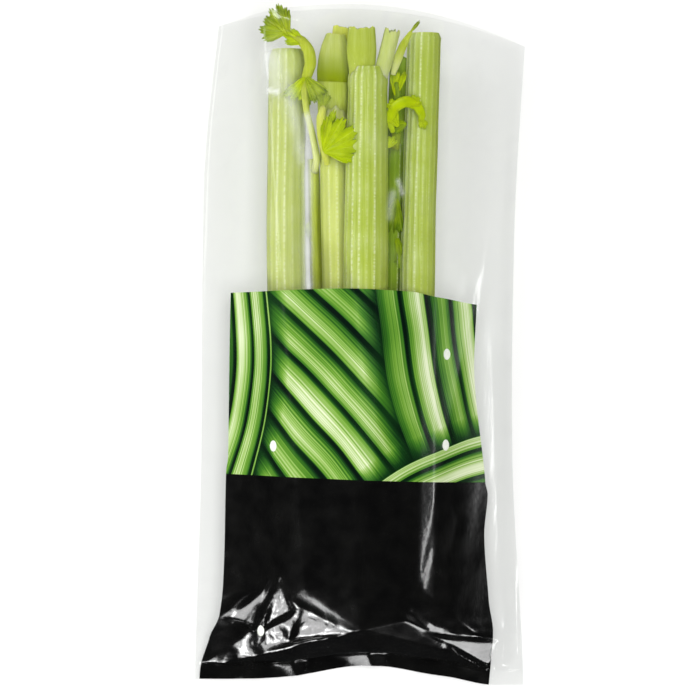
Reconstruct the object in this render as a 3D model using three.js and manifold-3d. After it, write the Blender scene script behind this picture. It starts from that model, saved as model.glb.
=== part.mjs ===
// A head of celery in its clear film sleeve, lying on its back on a table.
// Millimetres. +X runs across the head, +Y from the root plate to the leafy tops, and +Z up from the
// table. The origin is on the table under the middle of the sleeve.
import * as THREE from "three";
import { mergeVertices } from "three/addons/utils/BufferGeometryUtils.js";
import Module from "manifold-3d";

const wasm = await Module();
wasm.setup();

// ---- driving dimensions ----------------------------------------------------------------------
const rootPlateY = -157; // the cut underside of the crown
const stalkFootY = -155; // where the outer stalks leave the root plate
const shoulderY = -131; // the widest place of the foot
const middleY = 30; // the stalks run straight from here to their tops
const heartFootY = -137; // where the inner stalks leave the crown

const foot = { x: 5, z: 27.5, halfWide: 20, halfThick: 15.5 }; // ring of stalk feet at stalkFootY
const shoulder = { x: 1, z: 29.2, halfWide: 36, halfThick: 21.5 }; // the same ring at shoulderY

const filmWall = 0.6; // a stand-in for 0.04 mm film
const filmSlack = 1.1; // air between the stalks and the film
const sleeveHalfWide = 92.5;
const sleeveHalfLong = 188.5;
const sealLength = 8; // the welded band that closes the sleeve's lower end

const radians = THREE.MathUtils.degToRad;
const smooth = THREE.MathUtils.smoothstep;

// ---- stalks ------------------------------------------------------------------------------------
// Each stalk is a ribbed crescent swept up the head. turn is its place round the foot, in degrees from +X
// towards +Z. middle and tip give its section's middle, width, depth and the way its ribbed back faces.
const outerStalks = {
  stalk_left: {
    turn: 144, footWidth: 15, shoulderWidth: 23, ribs: 8, tipY: 165,
    middle: { x: -42, z: 28, width: 22, depth: 13, facing: 106 },
    tip: { x: -41.5, z: 26, width: 20.5, depth: 11.5, facing: 104 },
  },
  stalk_centre: {
    turn: 88, footWidth: 16, shoulderWidth: 27, ribs: 9, tipY: 154,
    middle: { x: 2.7, z: 46.5, width: 24.5, depth: 15, facing: 89 },
    tip: { x: 4, z: 45.5, width: 21.5, depth: 13, facing: 89 },
  },
  stalk_right: {
    turn: 37, footWidth: 14, shoulderWidth: 21, ribs: 8, tipY: 173.5,
    middle: { x: 33, z: 30.5, width: 20.5, depth: 13, facing: 74 },
    tip: { x: 35.5, z: 30, width: 18, depth: 11.5, facing: 76 },
  },
  stalk_back_right: {
    turn: -30, footWidth: 13.5, shoulderWidth: 20.5, ribs: 8, tipY: 158,
    middle: { x: 28, z: 9, width: 24, depth: 12, facing: -84 },
    tip: { x: 30, z: 8.2, width: 22, depth: 11, facing: -86 },
  },
  stalk_back_centre: {
    turn: -88, footWidth: 15, shoulderWidth: 25, ribs: 9, tipY: 163,
    middle: { x: -3, z: 9.4, width: 25, depth: 12.5, facing: -90 },
    tip: { x: -4, z: 8.3, width: 23, depth: 11, facing: -90 },
  },
  stalk_back_left: {
    turn: -146, footWidth: 14, shoulderWidth: 21, ribs: 8, tipY: 150,
    middle: { x: -41.5, z: 8.4, width: 21, depth: 11.5, facing: -96 },
    tip: { x: -41, z: 8, width: 20, depth: 10.5, facing: -94 },
  },
};

// The inner stalks start on top of the crown, so each gives its own foot.
const innerStalks = {
  stalk_centre_left: {
    ribs: 6, tipY: 147,
    foot: { x: -6.5, z: 37, width: 12, depth: 7, facing: 112 },
    middle: { x: -13.6, z: 31.5, width: 16, depth: 10, facing: 100 },
    tip: { x: -15.4, z: 31, width: 17, depth: 10, facing: 98 },
  },
  stalk_heart: {
    ribs: 5, tipY: 128,
    foot: { x: 8.5, z: 20.5, width: 13, depth: 7, facing: -92 },
    middle: { x: 1, z: 24.5, width: 14.5, depth: 9, facing: 84 },
    tip: { x: 2, z: 25, width: 13, depth: 8, facing: 84 },
  },
  heart_shoot: {
    ribs: 5, tipY: 112,
    foot: { x: 12.5, z: 36.5, width: 12, depth: 7, facing: 68 },
    middle: { x: 16.2, z: 26.5, width: 11.4, depth: 8.5, facing: 84 },
    tip: { x: 18.5, z: 29, width: 9, depth: 7, facing: 80 },
  },
  left_shoot: {
    ribs: 4, tipY: 104,
    foot: { x: -11, z: 22.5, width: 9, depth: 6, facing: 180 },
    middle: { x: -24.2, z: 15.6, width: 8, depth: 6.5, facing: 105 },
    tip: { x: -26.6, z: 24, width: 6.2, depth: 5.2, facing: 96 },
  },
};

const ribHeight = 0.55;
const edgeThickness = 1.7; // the thin margins of a stalk
const channelShare = 0.24; // depth of the hollow inner face, as a share of the stalk's depth
const backShare = 0.56; // how much of the depth lies behind the section's middle

// A foot of an outer stalk on an elliptic ring, facing straight out of the ring.
function onRing(ring, turn, width, depth) {
  const t = radians(turn);
  const facing = Math.atan2(Math.sin(t) / ring.halfThick, Math.cos(t) / ring.halfWide);
  return {
    x: ring.x + ring.halfWide * Math.cos(t),
    z: ring.z + ring.halfThick * Math.sin(t),
    width,
    depth,
    facing: THREE.MathUtils.radToDeg(facing),
  };
}

// The stations of a stalk from its foot to its tip, lowest first.
function stationsOf(stalk) {
  const start = stalk.foot
    ? [{ y: heartFootY, ...stalk.foot }]
    : [
        { y: stalkFootY, ...onRing(foot, stalk.turn, stalk.footWidth, 6) },
        { y: shoulderY, ...onRing(shoulder, stalk.turn, stalk.shoulderWidth, 10.5) },
      ];
  return [...start, { y: middleY, ...stalk.middle }, { y: stalk.tipY, ...stalk.tip }];
}

// One value of a stalk at height y: a cubic through its stations with flat-ended slopes.
function valueAt(stations, key, y) {
  const last = stations.length - 1;
  let i = 0;
  while (i < last - 1 && y > stations[i + 1].y) i += 1;
  const [a, b] = [stations[i], stations[i + 1]];
  const rise = b.y - a.y;
  const slope = (lo, hi) => (stations[hi][key] - stations[lo][key]) / (stations[hi].y - stations[lo].y);
  const slopeA = i === 0 ? slope(0, 1) : slope(i - 1, i + 1) * 0.7;
  const slopeB = i + 1 === last ? slope(last - 1, last) : slope(i, i + 2) * 0.7;
  const t = THREE.MathUtils.clamp((y - a.y) / rise, 0, 1);
  const t2 = t * t;
  const t3 = t2 * t;
  return (
    (2 * t3 - 3 * t2 + 1) * a[key] +
    (t3 - 2 * t2 + t) * rise * slopeA +
    (3 * t2 - 2 * t3) * b[key] +
    (t3 - t2) * rise * slopeB
  );
}

function sectionAt(stations, y) {
  const at = { y };
  for (const key of ["x", "z", "width", "depth", "facing"]) at[key] = valueAt(stations, key, y);
  return at;
}

// The crescent outline of a stalk: its ribbed back, then its hollow inner face. u runs across, v outwards.
function crescent({ width, depth }, ribs, ribScale = 1) {
  const outline = [];
  const backSteps = ribs * 2;
  for (let i = 0; i <= backSteps; i += 1) {
    const t = (Math.PI * i) / backSteps;
    const lift = (i % 2 ? 1 : 0) * ribHeight * ribScale;
    outline.push([(width / 2 + lift) * Math.cos(t), (depth + lift) * Math.sin(t)]);
  }
  const innerHalf = width / 2 - edgeThickness;
  const innerSteps = 4;
  for (let i = 0; i <= innerSteps; i += 1) {
    const t = Math.PI * (1 - i / innerSteps);
    const hollow = depth * channelShare * Math.sin(t);
    const lip = i === 0 || i === innerSteps ? -edgeThickness / 2 : 0;
    outline.push([innerHalf * Math.cos(t), hollow + lip]);
  }
  return outline;
}

// The outline placed in the head. Its v axis faces the way the stalk's back faces.
function placeOutline(outline, at) {
  const f = radians(at.facing);
  const [outX, outZ] = [Math.cos(f), Math.sin(f)];
  return outline.map(([u, v]) => {
    const w = v - at.depth * (1 - backShare);
    return new THREE.Vector3(at.x + u * outZ + w * outX, at.y, at.z - u * outX + w * outZ);
  });
}

// A flat face over an outline that runs anticlockwise, as triangles that do too.
function capFaces(outline) {
  const cap = outline.map(([u, v]) => new THREE.Vector2(u, v));
  return THREE.ShapeUtils.triangulateShape(cap, []).map(([a, b, c]) => {
    const turn = cap[b].clone().sub(cap[a]).cross(cap[c].clone().sub(cap[a]));
    return turn > 0 ? [a, b, c] : [a, c, b];
  });
}

// A closed geometry through rings of equal length. Each end is a flat face.
function loft(rings, capOutline) {
  const count = rings[0].length;
  const positions = rings.flat().flatMap((p) => [p.x, p.y, p.z]);
  const index = [];
  for (let r = 0; r < rings.length - 1; r += 1)
    for (let i = 0; i < count; i += 1) {
      const a = r * count + i;
      const b = r * count + ((i + 1) % count);
      index.push(a, b, a + count, b, b + count, a + count);
    }
  const lastRing = (rings.length - 1) * count;
  for (const [a, b, c] of capFaces(capOutline)) {
    index.push(a, c, b);
    index.push(lastRing + a, lastRing + b, lastRing + c);
  }
  const geometry = new THREE.BufferGeometry();
  geometry.setAttribute("position", new THREE.Float32BufferAttribute(positions, 3));
  geometry.setIndex(index);
  return geometry;
}

// ---- solids ------------------------------------------------------------------------------------
function toSolid(geometry) {
  const merged = mergeVertices(geometry, 1e-4);
  const mesh = new wasm.Mesh({
    numProp: 3,
    vertProperties: new Float32Array(merged.attributes.position.array),
    triVerts: new Uint32Array(merged.index.array),
  });
  const solid = new wasm.Manifold(mesh);
  if (solid.volume() > 0) return solid;
  const turned = merged.index.array;
  for (let i = 0; i < turned.length; i += 3) [turned[i + 1], turned[i + 2]] = [turned[i + 2], turned[i + 1]];
  mesh.triVerts = new Uint32Array(turned);
  return new wasm.Manifold(mesh);
}

function toGeometry(solid) {
  const mesh = solid.getMesh();
  const geometry = new THREE.BufferGeometry();
  geometry.setAttribute("position", new THREE.BufferAttribute(mesh.vertProperties, 3));
  geometry.setIndex(new THREE.BufferAttribute(mesh.triVerts, 1));
  return geometry;
}

const join = (solids) => solids.reduce((whole, next) => whole.add(next));

// A stalk swept from its foot to its tip. The steps are closer where it bends, at the foot.
function sweepStalk(stations, ribs, steps) {
  const [low, high] = [stations[0].y, stations[stations.length - 1].y];
  const rings = [];
  for (let s = 0; s <= steps; s += 1) {
    const y = low + (high - low) * (s / steps) ** 1.35;
    const at = sectionAt(stations, y);
    rings.push(placeOutline(crescent(at, ribs), at));
  }
  return toSolid(loft(rings, crescent(stations[0], ribs)));
}

// A round-backed tube through points that each give a radius, for stubs and leaf stems.
function sweepStem(points, sides = 8) {
  const rings = [];
  const circle = [];
  for (let i = 0; i < sides; i += 1) {
    const t = (2 * Math.PI * i) / sides;
    circle.push([Math.cos(t), Math.sin(t)]);
  }
  points.forEach((p, i) => {
    const before = points[Math.max(i - 1, 0)].at;
    const after = points[Math.min(i + 1, points.length - 1)].at;
    const along = new THREE.Vector3(...after).sub(new THREE.Vector3(...before)).normalize();
    const side = new THREE.Vector3(0, 0, 1).cross(along).normalize();
    const up = along.clone().cross(side);
    const flat = p.flat ?? 1;
    rings.push(
      circle.map(([c, s]) =>
        new THREE.Vector3(...p.at)
          .addScaledVector(side, p.radius * c)
          .addScaledVector(up, p.radius * flat * s),
      ),
    );
  });
  return toSolid(loft(rings, circle));
}

// ---- leaves ------------------------------------------------------------------------------------
// Half-widths of a lobed, toothed leaflet from its stem to its tip, as shares of its length. Each tooth's
// point leans forwards by lean.
const leafletEdge = [
  { along: 0.0, half: 0.03, lean: 0 },
  { along: 0.16, half: 0.1, lean: 0 },
  { along: 0.26, half: 0.36, lean: 0.1 },
  { along: 0.36, half: 0.3, lean: 0.02 },
  { along: 0.44, half: 0.5, lean: 0.14 },
  { along: 0.56, half: 0.28, lean: 0 },
  { along: 0.66, half: 0.42, lean: 0.14 },
  { along: 0.78, half: 0.2, lean: 0.02 },
  { along: 0.86, half: 0.22, lean: 0.08 },
  { along: 1.0, half: 0.02, lean: 0 },
];
const bladeThickness = 0.7;

// A thin leaflet from base towards heading, with its upper side along up. It droops to its tip and folds up
// from its midrib.
function leaflet({ base, heading, length, spread = 1, droop = 0.15, fold = 0.25, roll = 0 }) {
  const along = new THREE.Vector3(...heading).normalize();
  const side = along.clone().cross(new THREE.Vector3(0, 0, 1)).normalize();
  side.applyAxisAngle(along, radians(roll));
  const up = side.clone().cross(along).normalize();
  const pointAt = (s, u, lift) =>
    new THREE.Vector3(...base)
      .addScaledVector(along, s * length)
      .addScaledVector(side, u * length * spread)
      .addScaledVector(up, (-droop * s * s + fold * Math.abs(u)) * length + lift);
  const positions = [];
  for (const lift of [bladeThickness / 2, -bladeThickness / 2])
    for (const e of leafletEdge)
      for (const part of [-1, 0, 1]) {
        const p = pointAt(e.along + e.lean * Math.abs(part), e.half * part, lift);
        positions.push(p.x, p.y, p.z);
      }
  const rows = leafletEdge.length;
  const under = rows * 3;
  const index = [];
  const facet = (a, b, c) => {
    index.push(a, b, c);
    index.push(under + a, under + c, under + b);
  };
  for (let r = 0; r < rows - 1; r += 1)
    for (const part of [0, 1]) {
      const a = r * 3 + part;
      facet(a, a + 1, a + 3);
      facet(a + 1, a + 4, a + 3);
    }
  const rim = [0, 1, 2];
  for (let r = 1; r < rows; r += 1) rim.push(r * 3 + 2);
  rim.push((rows - 1) * 3 + 1, (rows - 1) * 3);
  for (let r = rows - 2; r > 0; r -= 1) rim.push(r * 3);
  rim.forEach((a, i) => {
    const b = rim[(i + 1) % rim.length];
    index.push(a, under + a, under + b, a, under + b, b);
  });
  const geometry = new THREE.BufferGeometry();
  geometry.setAttribute("position", new THREE.Float32BufferAttribute(positions, 3));
  geometry.setIndex(index);
  return toSolid(geometry);
}

// ---- building the plant ------------------------------------------------------------------------
const stalkSteps = 11;
const stationTable = {};
const solids = {};

for (const [name, stalk] of Object.entries({ ...outerStalks, ...innerStalks })) {
  stationTable[name] = stationsOf(stalk);
  solids[name] = sweepStalk(stationTable[name], stalk.ribs, stalkSteps);
}

// The centre stalk forks at its joint into a cut main rib and a thinner side branch.
solids.stalk_centre = join([
  solids.stalk_centre,
  sweepStem([
    { at: [0.5, 146, 46.5], radius: 7.2, flat: 0.62 },
    { at: [0.8, 153, 47.5], radius: 8.0, flat: 0.66 },
    { at: [1.1, 163, 47], radius: 7.7, flat: 0.66 },
    { at: [1.2, 176, 46.5], radius: 7.2, flat: 0.66 },
  ], 12),
  sweepStem([
    { at: [9, 147, 45.5], radius: 3.2 },
    { at: [13.2, 155, 46], radius: 3.9 },
    { at: [17.6, 174.5, 46], radius: 4.1 },
  ]),
]);

// The stalk beside it narrows above its joint to a smooth cut end.
solids.stalk_centre_left = join([
  solids.stalk_centre_left,
  sweepStem([
    { at: [-15.4, 140, 33], radius: 7.6, flat: 0.62 },
    { at: [-15.4, 150, 33], radius: 8.6, flat: 0.6 },
    { at: [-14.8, 162, 33], radius: 7.2, flat: 0.66 },
    { at: [-13.8, 172.5, 33], radius: 5.8, flat: 0.7 },
  ], 12),
]);

// The left shoot sends one leaf up past the tip of the left stalk and one across the centre stalks.
solids.left_shoot = join([
  solids.left_shoot,
  sweepStem([
    { at: [-26.2, 98, 23], radius: 2.4 },
    { at: [-27.6, 118, 31], radius: 2.7 },
    { at: [-28.6, 140, 38], radius: 3.4 },
    { at: [-30, 158, 39.5], radius: 3.2 },
    { at: [-35, 168, 39.5], radius: 2 },
  ]),
  sweepStem([
    { at: [-27, 106, 27], radius: 2.3 },
    { at: [-24.6, 122, 40], radius: 2.4 },
    { at: [-18, 128, 46], radius: 1.6 },
  ]),
  leaflet({ base: [-33, 166, 39.6], heading: [-0.85, 0.75, 0], length: 27, spread: 0.85, droop: 0.12 }),
  leaflet({ base: [-33.5, 165, 40.6], heading: [-0.42, 1, 0.05], length: 23, spread: 0.7, roll: 12 }),
  leaflet({ base: [-33.5, 166, 38.8], heading: [-1, 0.2, -0.05], length: 22, spread: 0.7, roll: -14 }),
  leaflet({ base: [-20, 127.5, 45.6], heading: [1, -0.42, 0.62], length: 24, spread: 0.8, droop: 0.16 }),
  leaflet({ base: [-20, 127, 45.2], heading: [0.42, -1, 0.1], length: 21, spread: 0.7, droop: 0.1 }),
  leaflet({ base: [-20.5, 127.5, 45.2], heading: [0.95, 0.4, 0.3], length: 14, spread: 0.7, droop: 0.1 }),
  leaflet({ base: [-26, 71, 19.5], heading: [-0.6, -1, 0.3], length: 11, spread: 0.7, droop: 0.2 }),
]);

// The heart shoot ends in small curled leaves between the centre and right stalks.
solids.heart_shoot = join([
  solids.heart_shoot,
  sweepStem([
    { at: [18.5, 108, 29.5], radius: 3.1 },
    { at: [18.6, 124, 33], radius: 2.6 },
    { at: [19.5, 140, 36], radius: 2.2 },
    { at: [20, 150, 36], radius: 1.6 },
  ]),
  leaflet({ base: [19, 127, 35.5], heading: [1, 0.5, 0.5], length: 20, spread: 0.85, droop: 0.35 }),
  leaflet({ base: [18.6, 124, 34.5], heading: [0.35, -1, 0.5], length: 14, spread: 0.8, droop: 0.3 }),
  leaflet({ base: [19.6, 146, 36.2], heading: [0.1, 1, 0.1], length: 15, spread: 0.6, droop: 0.1 }),
]);

// The crown: a short cone of stem between the stalk feet, cut flat as the root plate.
const crownRings = [
  { y: rootPlateY, halfWide: 15, halfThick: 10.5 },
  { y: rootPlateY + 1.5, halfWide: 15.8, halfThick: 11.2 },
  { y: -150, halfWide: 17.5, halfThick: 12 },
  { y: -143, halfWide: 20.5, halfThick: 13 },
  { y: heartFootY - 0.4, halfWide: 21, halfThick: 13 },
];
const crownSides = 28;

function crown() {
  const circle = [];
  for (let i = 0; i < crownSides; i += 1) {
    const t = (2 * Math.PI * i) / crownSides;
    circle.push([Math.cos(t), Math.sin(t)]);
  }
  const rings = crownRings.map((ring) => {
    const lift = smooth(ring.y, stalkFootY, shoulderY);
    const middle = foot.z + (shoulder.z - foot.z) * lift;
    return circle.map(
      ([c, s]) => new THREE.Vector3(foot.x + ring.halfWide * c, ring.y, middle + ring.halfThick * s),
    );
  });
  return toSolid(loft(rings, circle));
}
solids.crown = crown();

// ---- the sleeve --------------------------------------------------------------------------------
// The film is drawn taut over the plant: each of its rings is the hull of the plant near it and of the
// sleeve's two side folds.
const mouthY = sleeveHalfLong;
const sealY = -181; // the welded edge, before it waves
const sealTopY = sealY + sealLength;
const leftFold = [[sealY, -sleeveHalfWide], [-60, -89], [90, -87.5], [mouthY, -78]];
const rightFold = [[sealY, 90.5], [-60, 84.5], [60, 85.5], [mouthY, sleeveHalfWide]];
const foldHeight = [[sealY, 2.6], [-120, 4], [60, 5], [mouthY, 12]];
const ringHeights = [
  sealY, sealTopY, -169, -165, -160, -153, -144, -134, -122, -106, -88, -66, -42, -18, 6,
  30, 54, 78, 98, 116, 132, 146, 156, 166, 176, mouthY,
];
const chainSteps = 26; // facets of the front film, and as many of the back film
const foldInset = 1.4; // from the sleeve's side edge to its hollow
// The back film touches the table at these places, as [x, y], and clears it by a hair's breadth elsewhere.
const restSpots = [
  [-8, -134], [12, -134], [-38, 146], [28, 146],
  [-8, -66], [-2, -66], [-8, -42], [-2, -42],
];
const tableGap = 0.15;

// A smooth curve through points of [y, value].
function curveAt(points, y) {
  const rows = points.map(([at, value]) => ({ y: at, value }));
  return valueAt(rows, "value", THREE.MathUtils.clamp(y, rows[0].y, rows[rows.length - 1].y));
}

// How far the mouth's edge and the sealed edge depart from a straight line across the sleeve.
const mouthDrop = (x) => 0.0021 * (x + 10) ** 2;
const sealDrop = (x) => 4.1 - 7.5 * Math.exp(-(((x - 4) / 34) ** 2)) + 3.4 * smooth(x, 46, 74);

function edgeShift(x, y) {
  return -mouthDrop(x) * smooth(y, 70, mouthY) - sealDrop(x) * (1 - smooth(y, sealY, -150));
}

// Air that holds the film open past the plant's ends: an ellipse at a height along the sleeve.
const airPockets = [
  { y: sealTopY, x: 2, z: 3.4, halfWide: 60, halfThick: 0.4 },
  { y: -169, x: 3, z: 8, halfWide: 34, halfThick: 6 },
  { y: -165, x: 3, z: 15, halfWide: 27, halfThick: 13 },
  { y: 176, x: 4, z: 23, halfWide: 42, halfThick: 19 },
  { y: mouthY, x: 4, z: 24, halfWide: 44, halfThick: 17 },
];

function ellipsePoints({ x, z, halfWide, halfThick }) {
  const points = [];
  for (let i = 0; i < 24; i += 1) {
    const t = (2 * Math.PI * i) / 24;
    points.push([x + halfWide * Math.cos(t), z + halfThick * Math.sin(t)]);
  }
  return points;
}

// Every point of the plant from low to high along the head, as [x, z], with the film's slack round it.
function plantPoints(low, high) {
  const points = [];
  for (const [name, stations] of Object.entries(stationTable)) {
    const stalk = outerStalks[name] ?? innerStalks[name];
    const [start, end] = [stations[0].y, stations[stations.length - 1].y];
    for (const share of [0, 0.5, 1]) {
      const y = low + (high - low) * share;
      if (y < start || y > end) continue;
      const at = sectionAt(stations, y);
      for (const p of placeOutline(crescent(at, stalk.ribs), at)) points.push([p.x, p.z]);
    }
  }
  for (const solid of Object.values(solids)) {
    const { vertProperties } = solid.getMesh();
    for (let i = 0; i < vertProperties.length; i += 3)
      if (vertProperties[i + 1] >= low && vertProperties[i + 1] <= high)
        points.push([vertProperties[i], vertProperties[i + 2]]);
  }
  return points.flatMap(([x, z]) => ellipsePoints({ x, z, halfWide: filmSlack, halfThick: filmSlack }));
}

// The upper half of a hull, from left to right: sign 1 for the front film, -1 for the back.
function hullChain(points, sign) {
  const sorted = points.map(([x, z]) => [x, z * sign]).sort((a, b) => a[0] - b[0] || a[1] - b[1]);
  const chain = [];
  for (const p of sorted) {
    while (chain.length > 1) {
      const [a, b] = chain.slice(-2);
      if ((b[0] - a[0]) * (p[1] - a[1]) - (b[1] - a[1]) * (p[0] - a[0]) < 0) break;
      chain.pop();
    }
    chain.push(p);
  }
  return (x) => {
    let i = 0;
    while (i < chain.length - 2 && x > chain[i + 1][0]) i += 1;
    const [a, b] = [chain[i], chain[i + 1]];
    return sign * (a[1] + ((x - a[0]) / (b[0] - a[0] || 1)) * (b[1] - a[1]));
  };
}

const clearance = (x, y) =>
  restSpots.some(([restX, restY]) => Math.abs(x - restX) < 3.5 && Math.abs(y - restY) < 1) ? 0 : tableGap;

// One ring of the film's inner face and one of its outer face, as two chains of [x, z] from fold to fold.
function filmRing(step) {
  const y = ringHeights[step];
  // Near the mouth a ring sags below y at its sides, so it clears the plant that far down too.
  const sag = mouthDrop(45) * smooth(y, 70, mouthY);
  const low = ringHeights[Math.max(step - 1, 0)] - sag;
  const high = ringHeights[Math.min(step + 1, ringHeights.length - 1)];
  const left = curveAt(leftFold, y);
  const right = curveAt(rightFold, y);
  const folded = curveAt(foldHeight, y);
  const pocket = airPockets.filter((p) => p.y === y).flatMap(ellipsePoints);
  const points = [[left + foldInset, folded], [right - foldInset, folded], ...pocket];
  if (y > sealTopY) points.push(...plantPoints(low, high));
  const [frontAt, backAt] = [hullChain(points, 1), hullChain(points, -1)];
  const chains = { inner: { front: [], back: [] }, outer: { front: [], back: [] } };
  for (let i = 0; i <= chainSteps; i += 1) {
    const share = i / chainSteps;
    const x = left + foldInset + (right - left - 2 * foldInset) * share;
    chains.inner.front.push([x, Math.max(frontAt(x), filmWall)]);
    chains.inner.back.push([x, Math.max(backAt(x), filmWall + clearance(x, y))]);
  }
  for (const [side, sign] of [["front", 1], ["back", -1]]) {
    const inner = chains.inner[side];
    inner.forEach(([x, z], i) => {
      if (i === 0) return chains.outer[side].push([left, folded]);
      if (i === chainSteps) return chains.outer[side].push([right, folded]);
      const [a, b] = [inner[i - 1], inner[i + 1]];
      const run = Math.hypot(b[0] - a[0], b[1] - a[1]);
      const shiftX = (-sign * (b[1] - a[1]) * filmWall) / run;
      const shiftZ = (sign * (b[0] - a[0]) * filmWall) / run;
      return chains.outer[side].push([x + shiftX, Math.max(z + shiftZ, clearance(x, y))]);
    });
  }
  return { y, ...chains };
}

// The sealed band: both films as one strip that waves gently over the table.
function sealRing(y) {
  const left = curveAt(leftFold, y);
  const right = curveAt(rightFold, y);
  const chains = { front: [], back: [] };
  for (let i = 0; i <= chainSteps; i += 1) {
    const share = i / chainSteps;
    const x = left + (right - left) * share;
    const fade = i === 0 || i === chainSteps ? 0 : 1;
    const middle = 2.6 + 1.2 * Math.sin(share * 9 + 0.6);
    chains.front.push([x, middle + filmWall * fade]);
    chains.back.push([x, middle - filmWall * fade]);
  }
  return { y, outer: chains };
}

function sleeve() {
  const filmRings = ringHeights.slice(1).map((_, i) => filmRing(i + 1));
  const outerRings = [sealRing(ringHeights[0]), ...filmRings];
  const count = chainSteps * 2;
  const positions = [];
  const addRing = ({ front, back }, y) => {
    const ring = [...front, ...back.slice(1, -1).reverse()];
    for (const [x, z] of ring) positions.push(x, y + edgeShift(x, y), z);
  };
  outerRings.forEach((ring) => addRing(ring.outer, ring.y));
  filmRings.forEach((ring) => addRing(ring.inner, ring.y));
  const index = [];
  const band = (a0, b0, turned) => {
    for (let i = 0; i < count; i += 1) {
      const j = (i + 1) % count;
      const [a, b, c, d] = [a0 + i, a0 + j, b0 + j, b0 + i];
      if (turned) index.push(a, c, b, a, d, c);
      else index.push(a, b, c, a, c, d);
    }
  };
  // A flat end between the front and back chains of one ring.
  const end = (a0, turned) => {
    for (let i = 0; i < chainSteps; i += 1) {
      const [a, b] = [a0 + i, a0 + i + 1];
      const [c, d] = [a0 + ((count - i - 1) % count), a0 + ((count - i) % count)];
      const faces = i === 0 ? [[a, b, c]] : i === chainSteps - 1 ? [[a, b, d]] : [[a, b, c], [a, c, d]];
      for (const [p, q, s] of faces) index.push(...(turned ? [p, s, q] : [p, q, s]));
    }
  };
  const innerStart = outerRings.length * count;
  for (let r = 0; r < outerRings.length - 1; r += 1) band(r * count, (r + 1) * count, false);
  for (let r = 0; r < filmRings.length - 1; r += 1)
    band(innerStart + r * count, innerStart + (r + 1) * count, true);
  band((outerRings.length - 1) * count, innerStart + (filmRings.length - 1) * count, false);
  end(0, true);
  end(innerStart, false);
  const geometry = new THREE.BufferGeometry();
  geometry.setAttribute("position", new THREE.Float32BufferAttribute(positions, 3));
  geometry.setIndex(index);
  return toSolid(geometry);
}

// Oval vents punched through the front film, each with its middle at [x, y].
const vents = [[-48.5, -54.5], [46.8, -54], [47.5, -4], [-55.5, -157]];
const ventHalf = { x: 2, y: 3.2 };

function ventPunch([x, y]) {
  const shape = new THREE.Shape();
  shape.absellipse(0, 0, ventHalf.x, ventHalf.y, 0, 2 * Math.PI);
  const punch = new THREE.ExtrudeGeometry(shape, { depth: 60, bevelEnabled: false, curveSegments: 10 });
  punch.translate(x, y, 9);
  punch.deleteAttribute("normal");
  punch.deleteAttribute("uv");
  return toSolid(punch);
}

solids.sleeve = sleeve();
for (const vent of vents) solids.sleeve = solids.sleeve.subtract(ventPunch(vent));

// ---- the part ----------------------------------------------------------------------------------
const stalkGreen = new THREE.MeshStandardMaterial({ color: 0xb4cc6a, roughness: 0.42 });
const innerGreen = new THREE.MeshStandardMaterial({ color: 0xcdd985, roughness: 0.45 });
const leafGreen = new THREE.MeshStandardMaterial({ color: 0x9dbb1e, roughness: 0.5 });
const crownCream = new THREE.MeshStandardMaterial({ color: 0xd9d6a8, roughness: 0.6 });
const clearFilm = new THREE.MeshStandardMaterial({
  color: 0xf2f5f2,
  roughness: 0.12,
  transparent: true,
  opacity: 0.3,
});
const materials = {
  stalk_centre_left: innerGreen,
  stalk_heart: innerGreen,
  left_shoot: leafGreen,
  heart_shoot: leafGreen,
  crown: crownCream,
  sleeve: clearFilm,
};

const celery = new THREE.Group();
for (const [name, solid] of Object.entries(solids)) {
  const mesh = new THREE.Mesh(toGeometry(solid), materials[name] ?? stalkGreen);
  mesh.name = name;
  celery.add(mesh);
}

export default celery;
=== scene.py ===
import math

import bmesh
import bpy
import numpy as np
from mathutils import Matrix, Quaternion, Vector
from mathutils.bvhtree import BVHTree


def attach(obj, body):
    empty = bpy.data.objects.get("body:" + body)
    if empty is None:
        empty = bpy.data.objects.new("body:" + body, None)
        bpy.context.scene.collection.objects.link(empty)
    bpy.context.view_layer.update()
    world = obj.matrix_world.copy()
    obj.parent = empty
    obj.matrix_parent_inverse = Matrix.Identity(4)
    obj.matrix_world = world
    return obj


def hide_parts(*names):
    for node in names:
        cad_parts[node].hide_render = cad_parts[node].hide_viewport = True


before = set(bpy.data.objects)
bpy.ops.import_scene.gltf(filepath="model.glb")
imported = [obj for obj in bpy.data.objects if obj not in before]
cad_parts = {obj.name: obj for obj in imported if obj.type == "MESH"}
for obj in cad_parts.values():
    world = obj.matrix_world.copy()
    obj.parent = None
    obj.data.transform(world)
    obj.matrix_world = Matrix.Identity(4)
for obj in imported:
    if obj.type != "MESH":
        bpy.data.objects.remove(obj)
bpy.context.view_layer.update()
print("frame loaded:", ", ".join(sorted(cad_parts)))

mm = 0.001  # the tables below are in millimetres, as in the solids
fullTurn = 6.28  # the range of a wave's first phase


def deselectAll():
    if bpy.context.object and bpy.context.object.mode != "OBJECT":
        bpy.ops.object.mode_set(mode="OBJECT")
    bpy.ops.object.select_all(action="DESELECT")


def pick(piece):
    deselectAll()
    piece.select_set(True)
    bpy.context.view_layer.objects.active = piece


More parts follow.
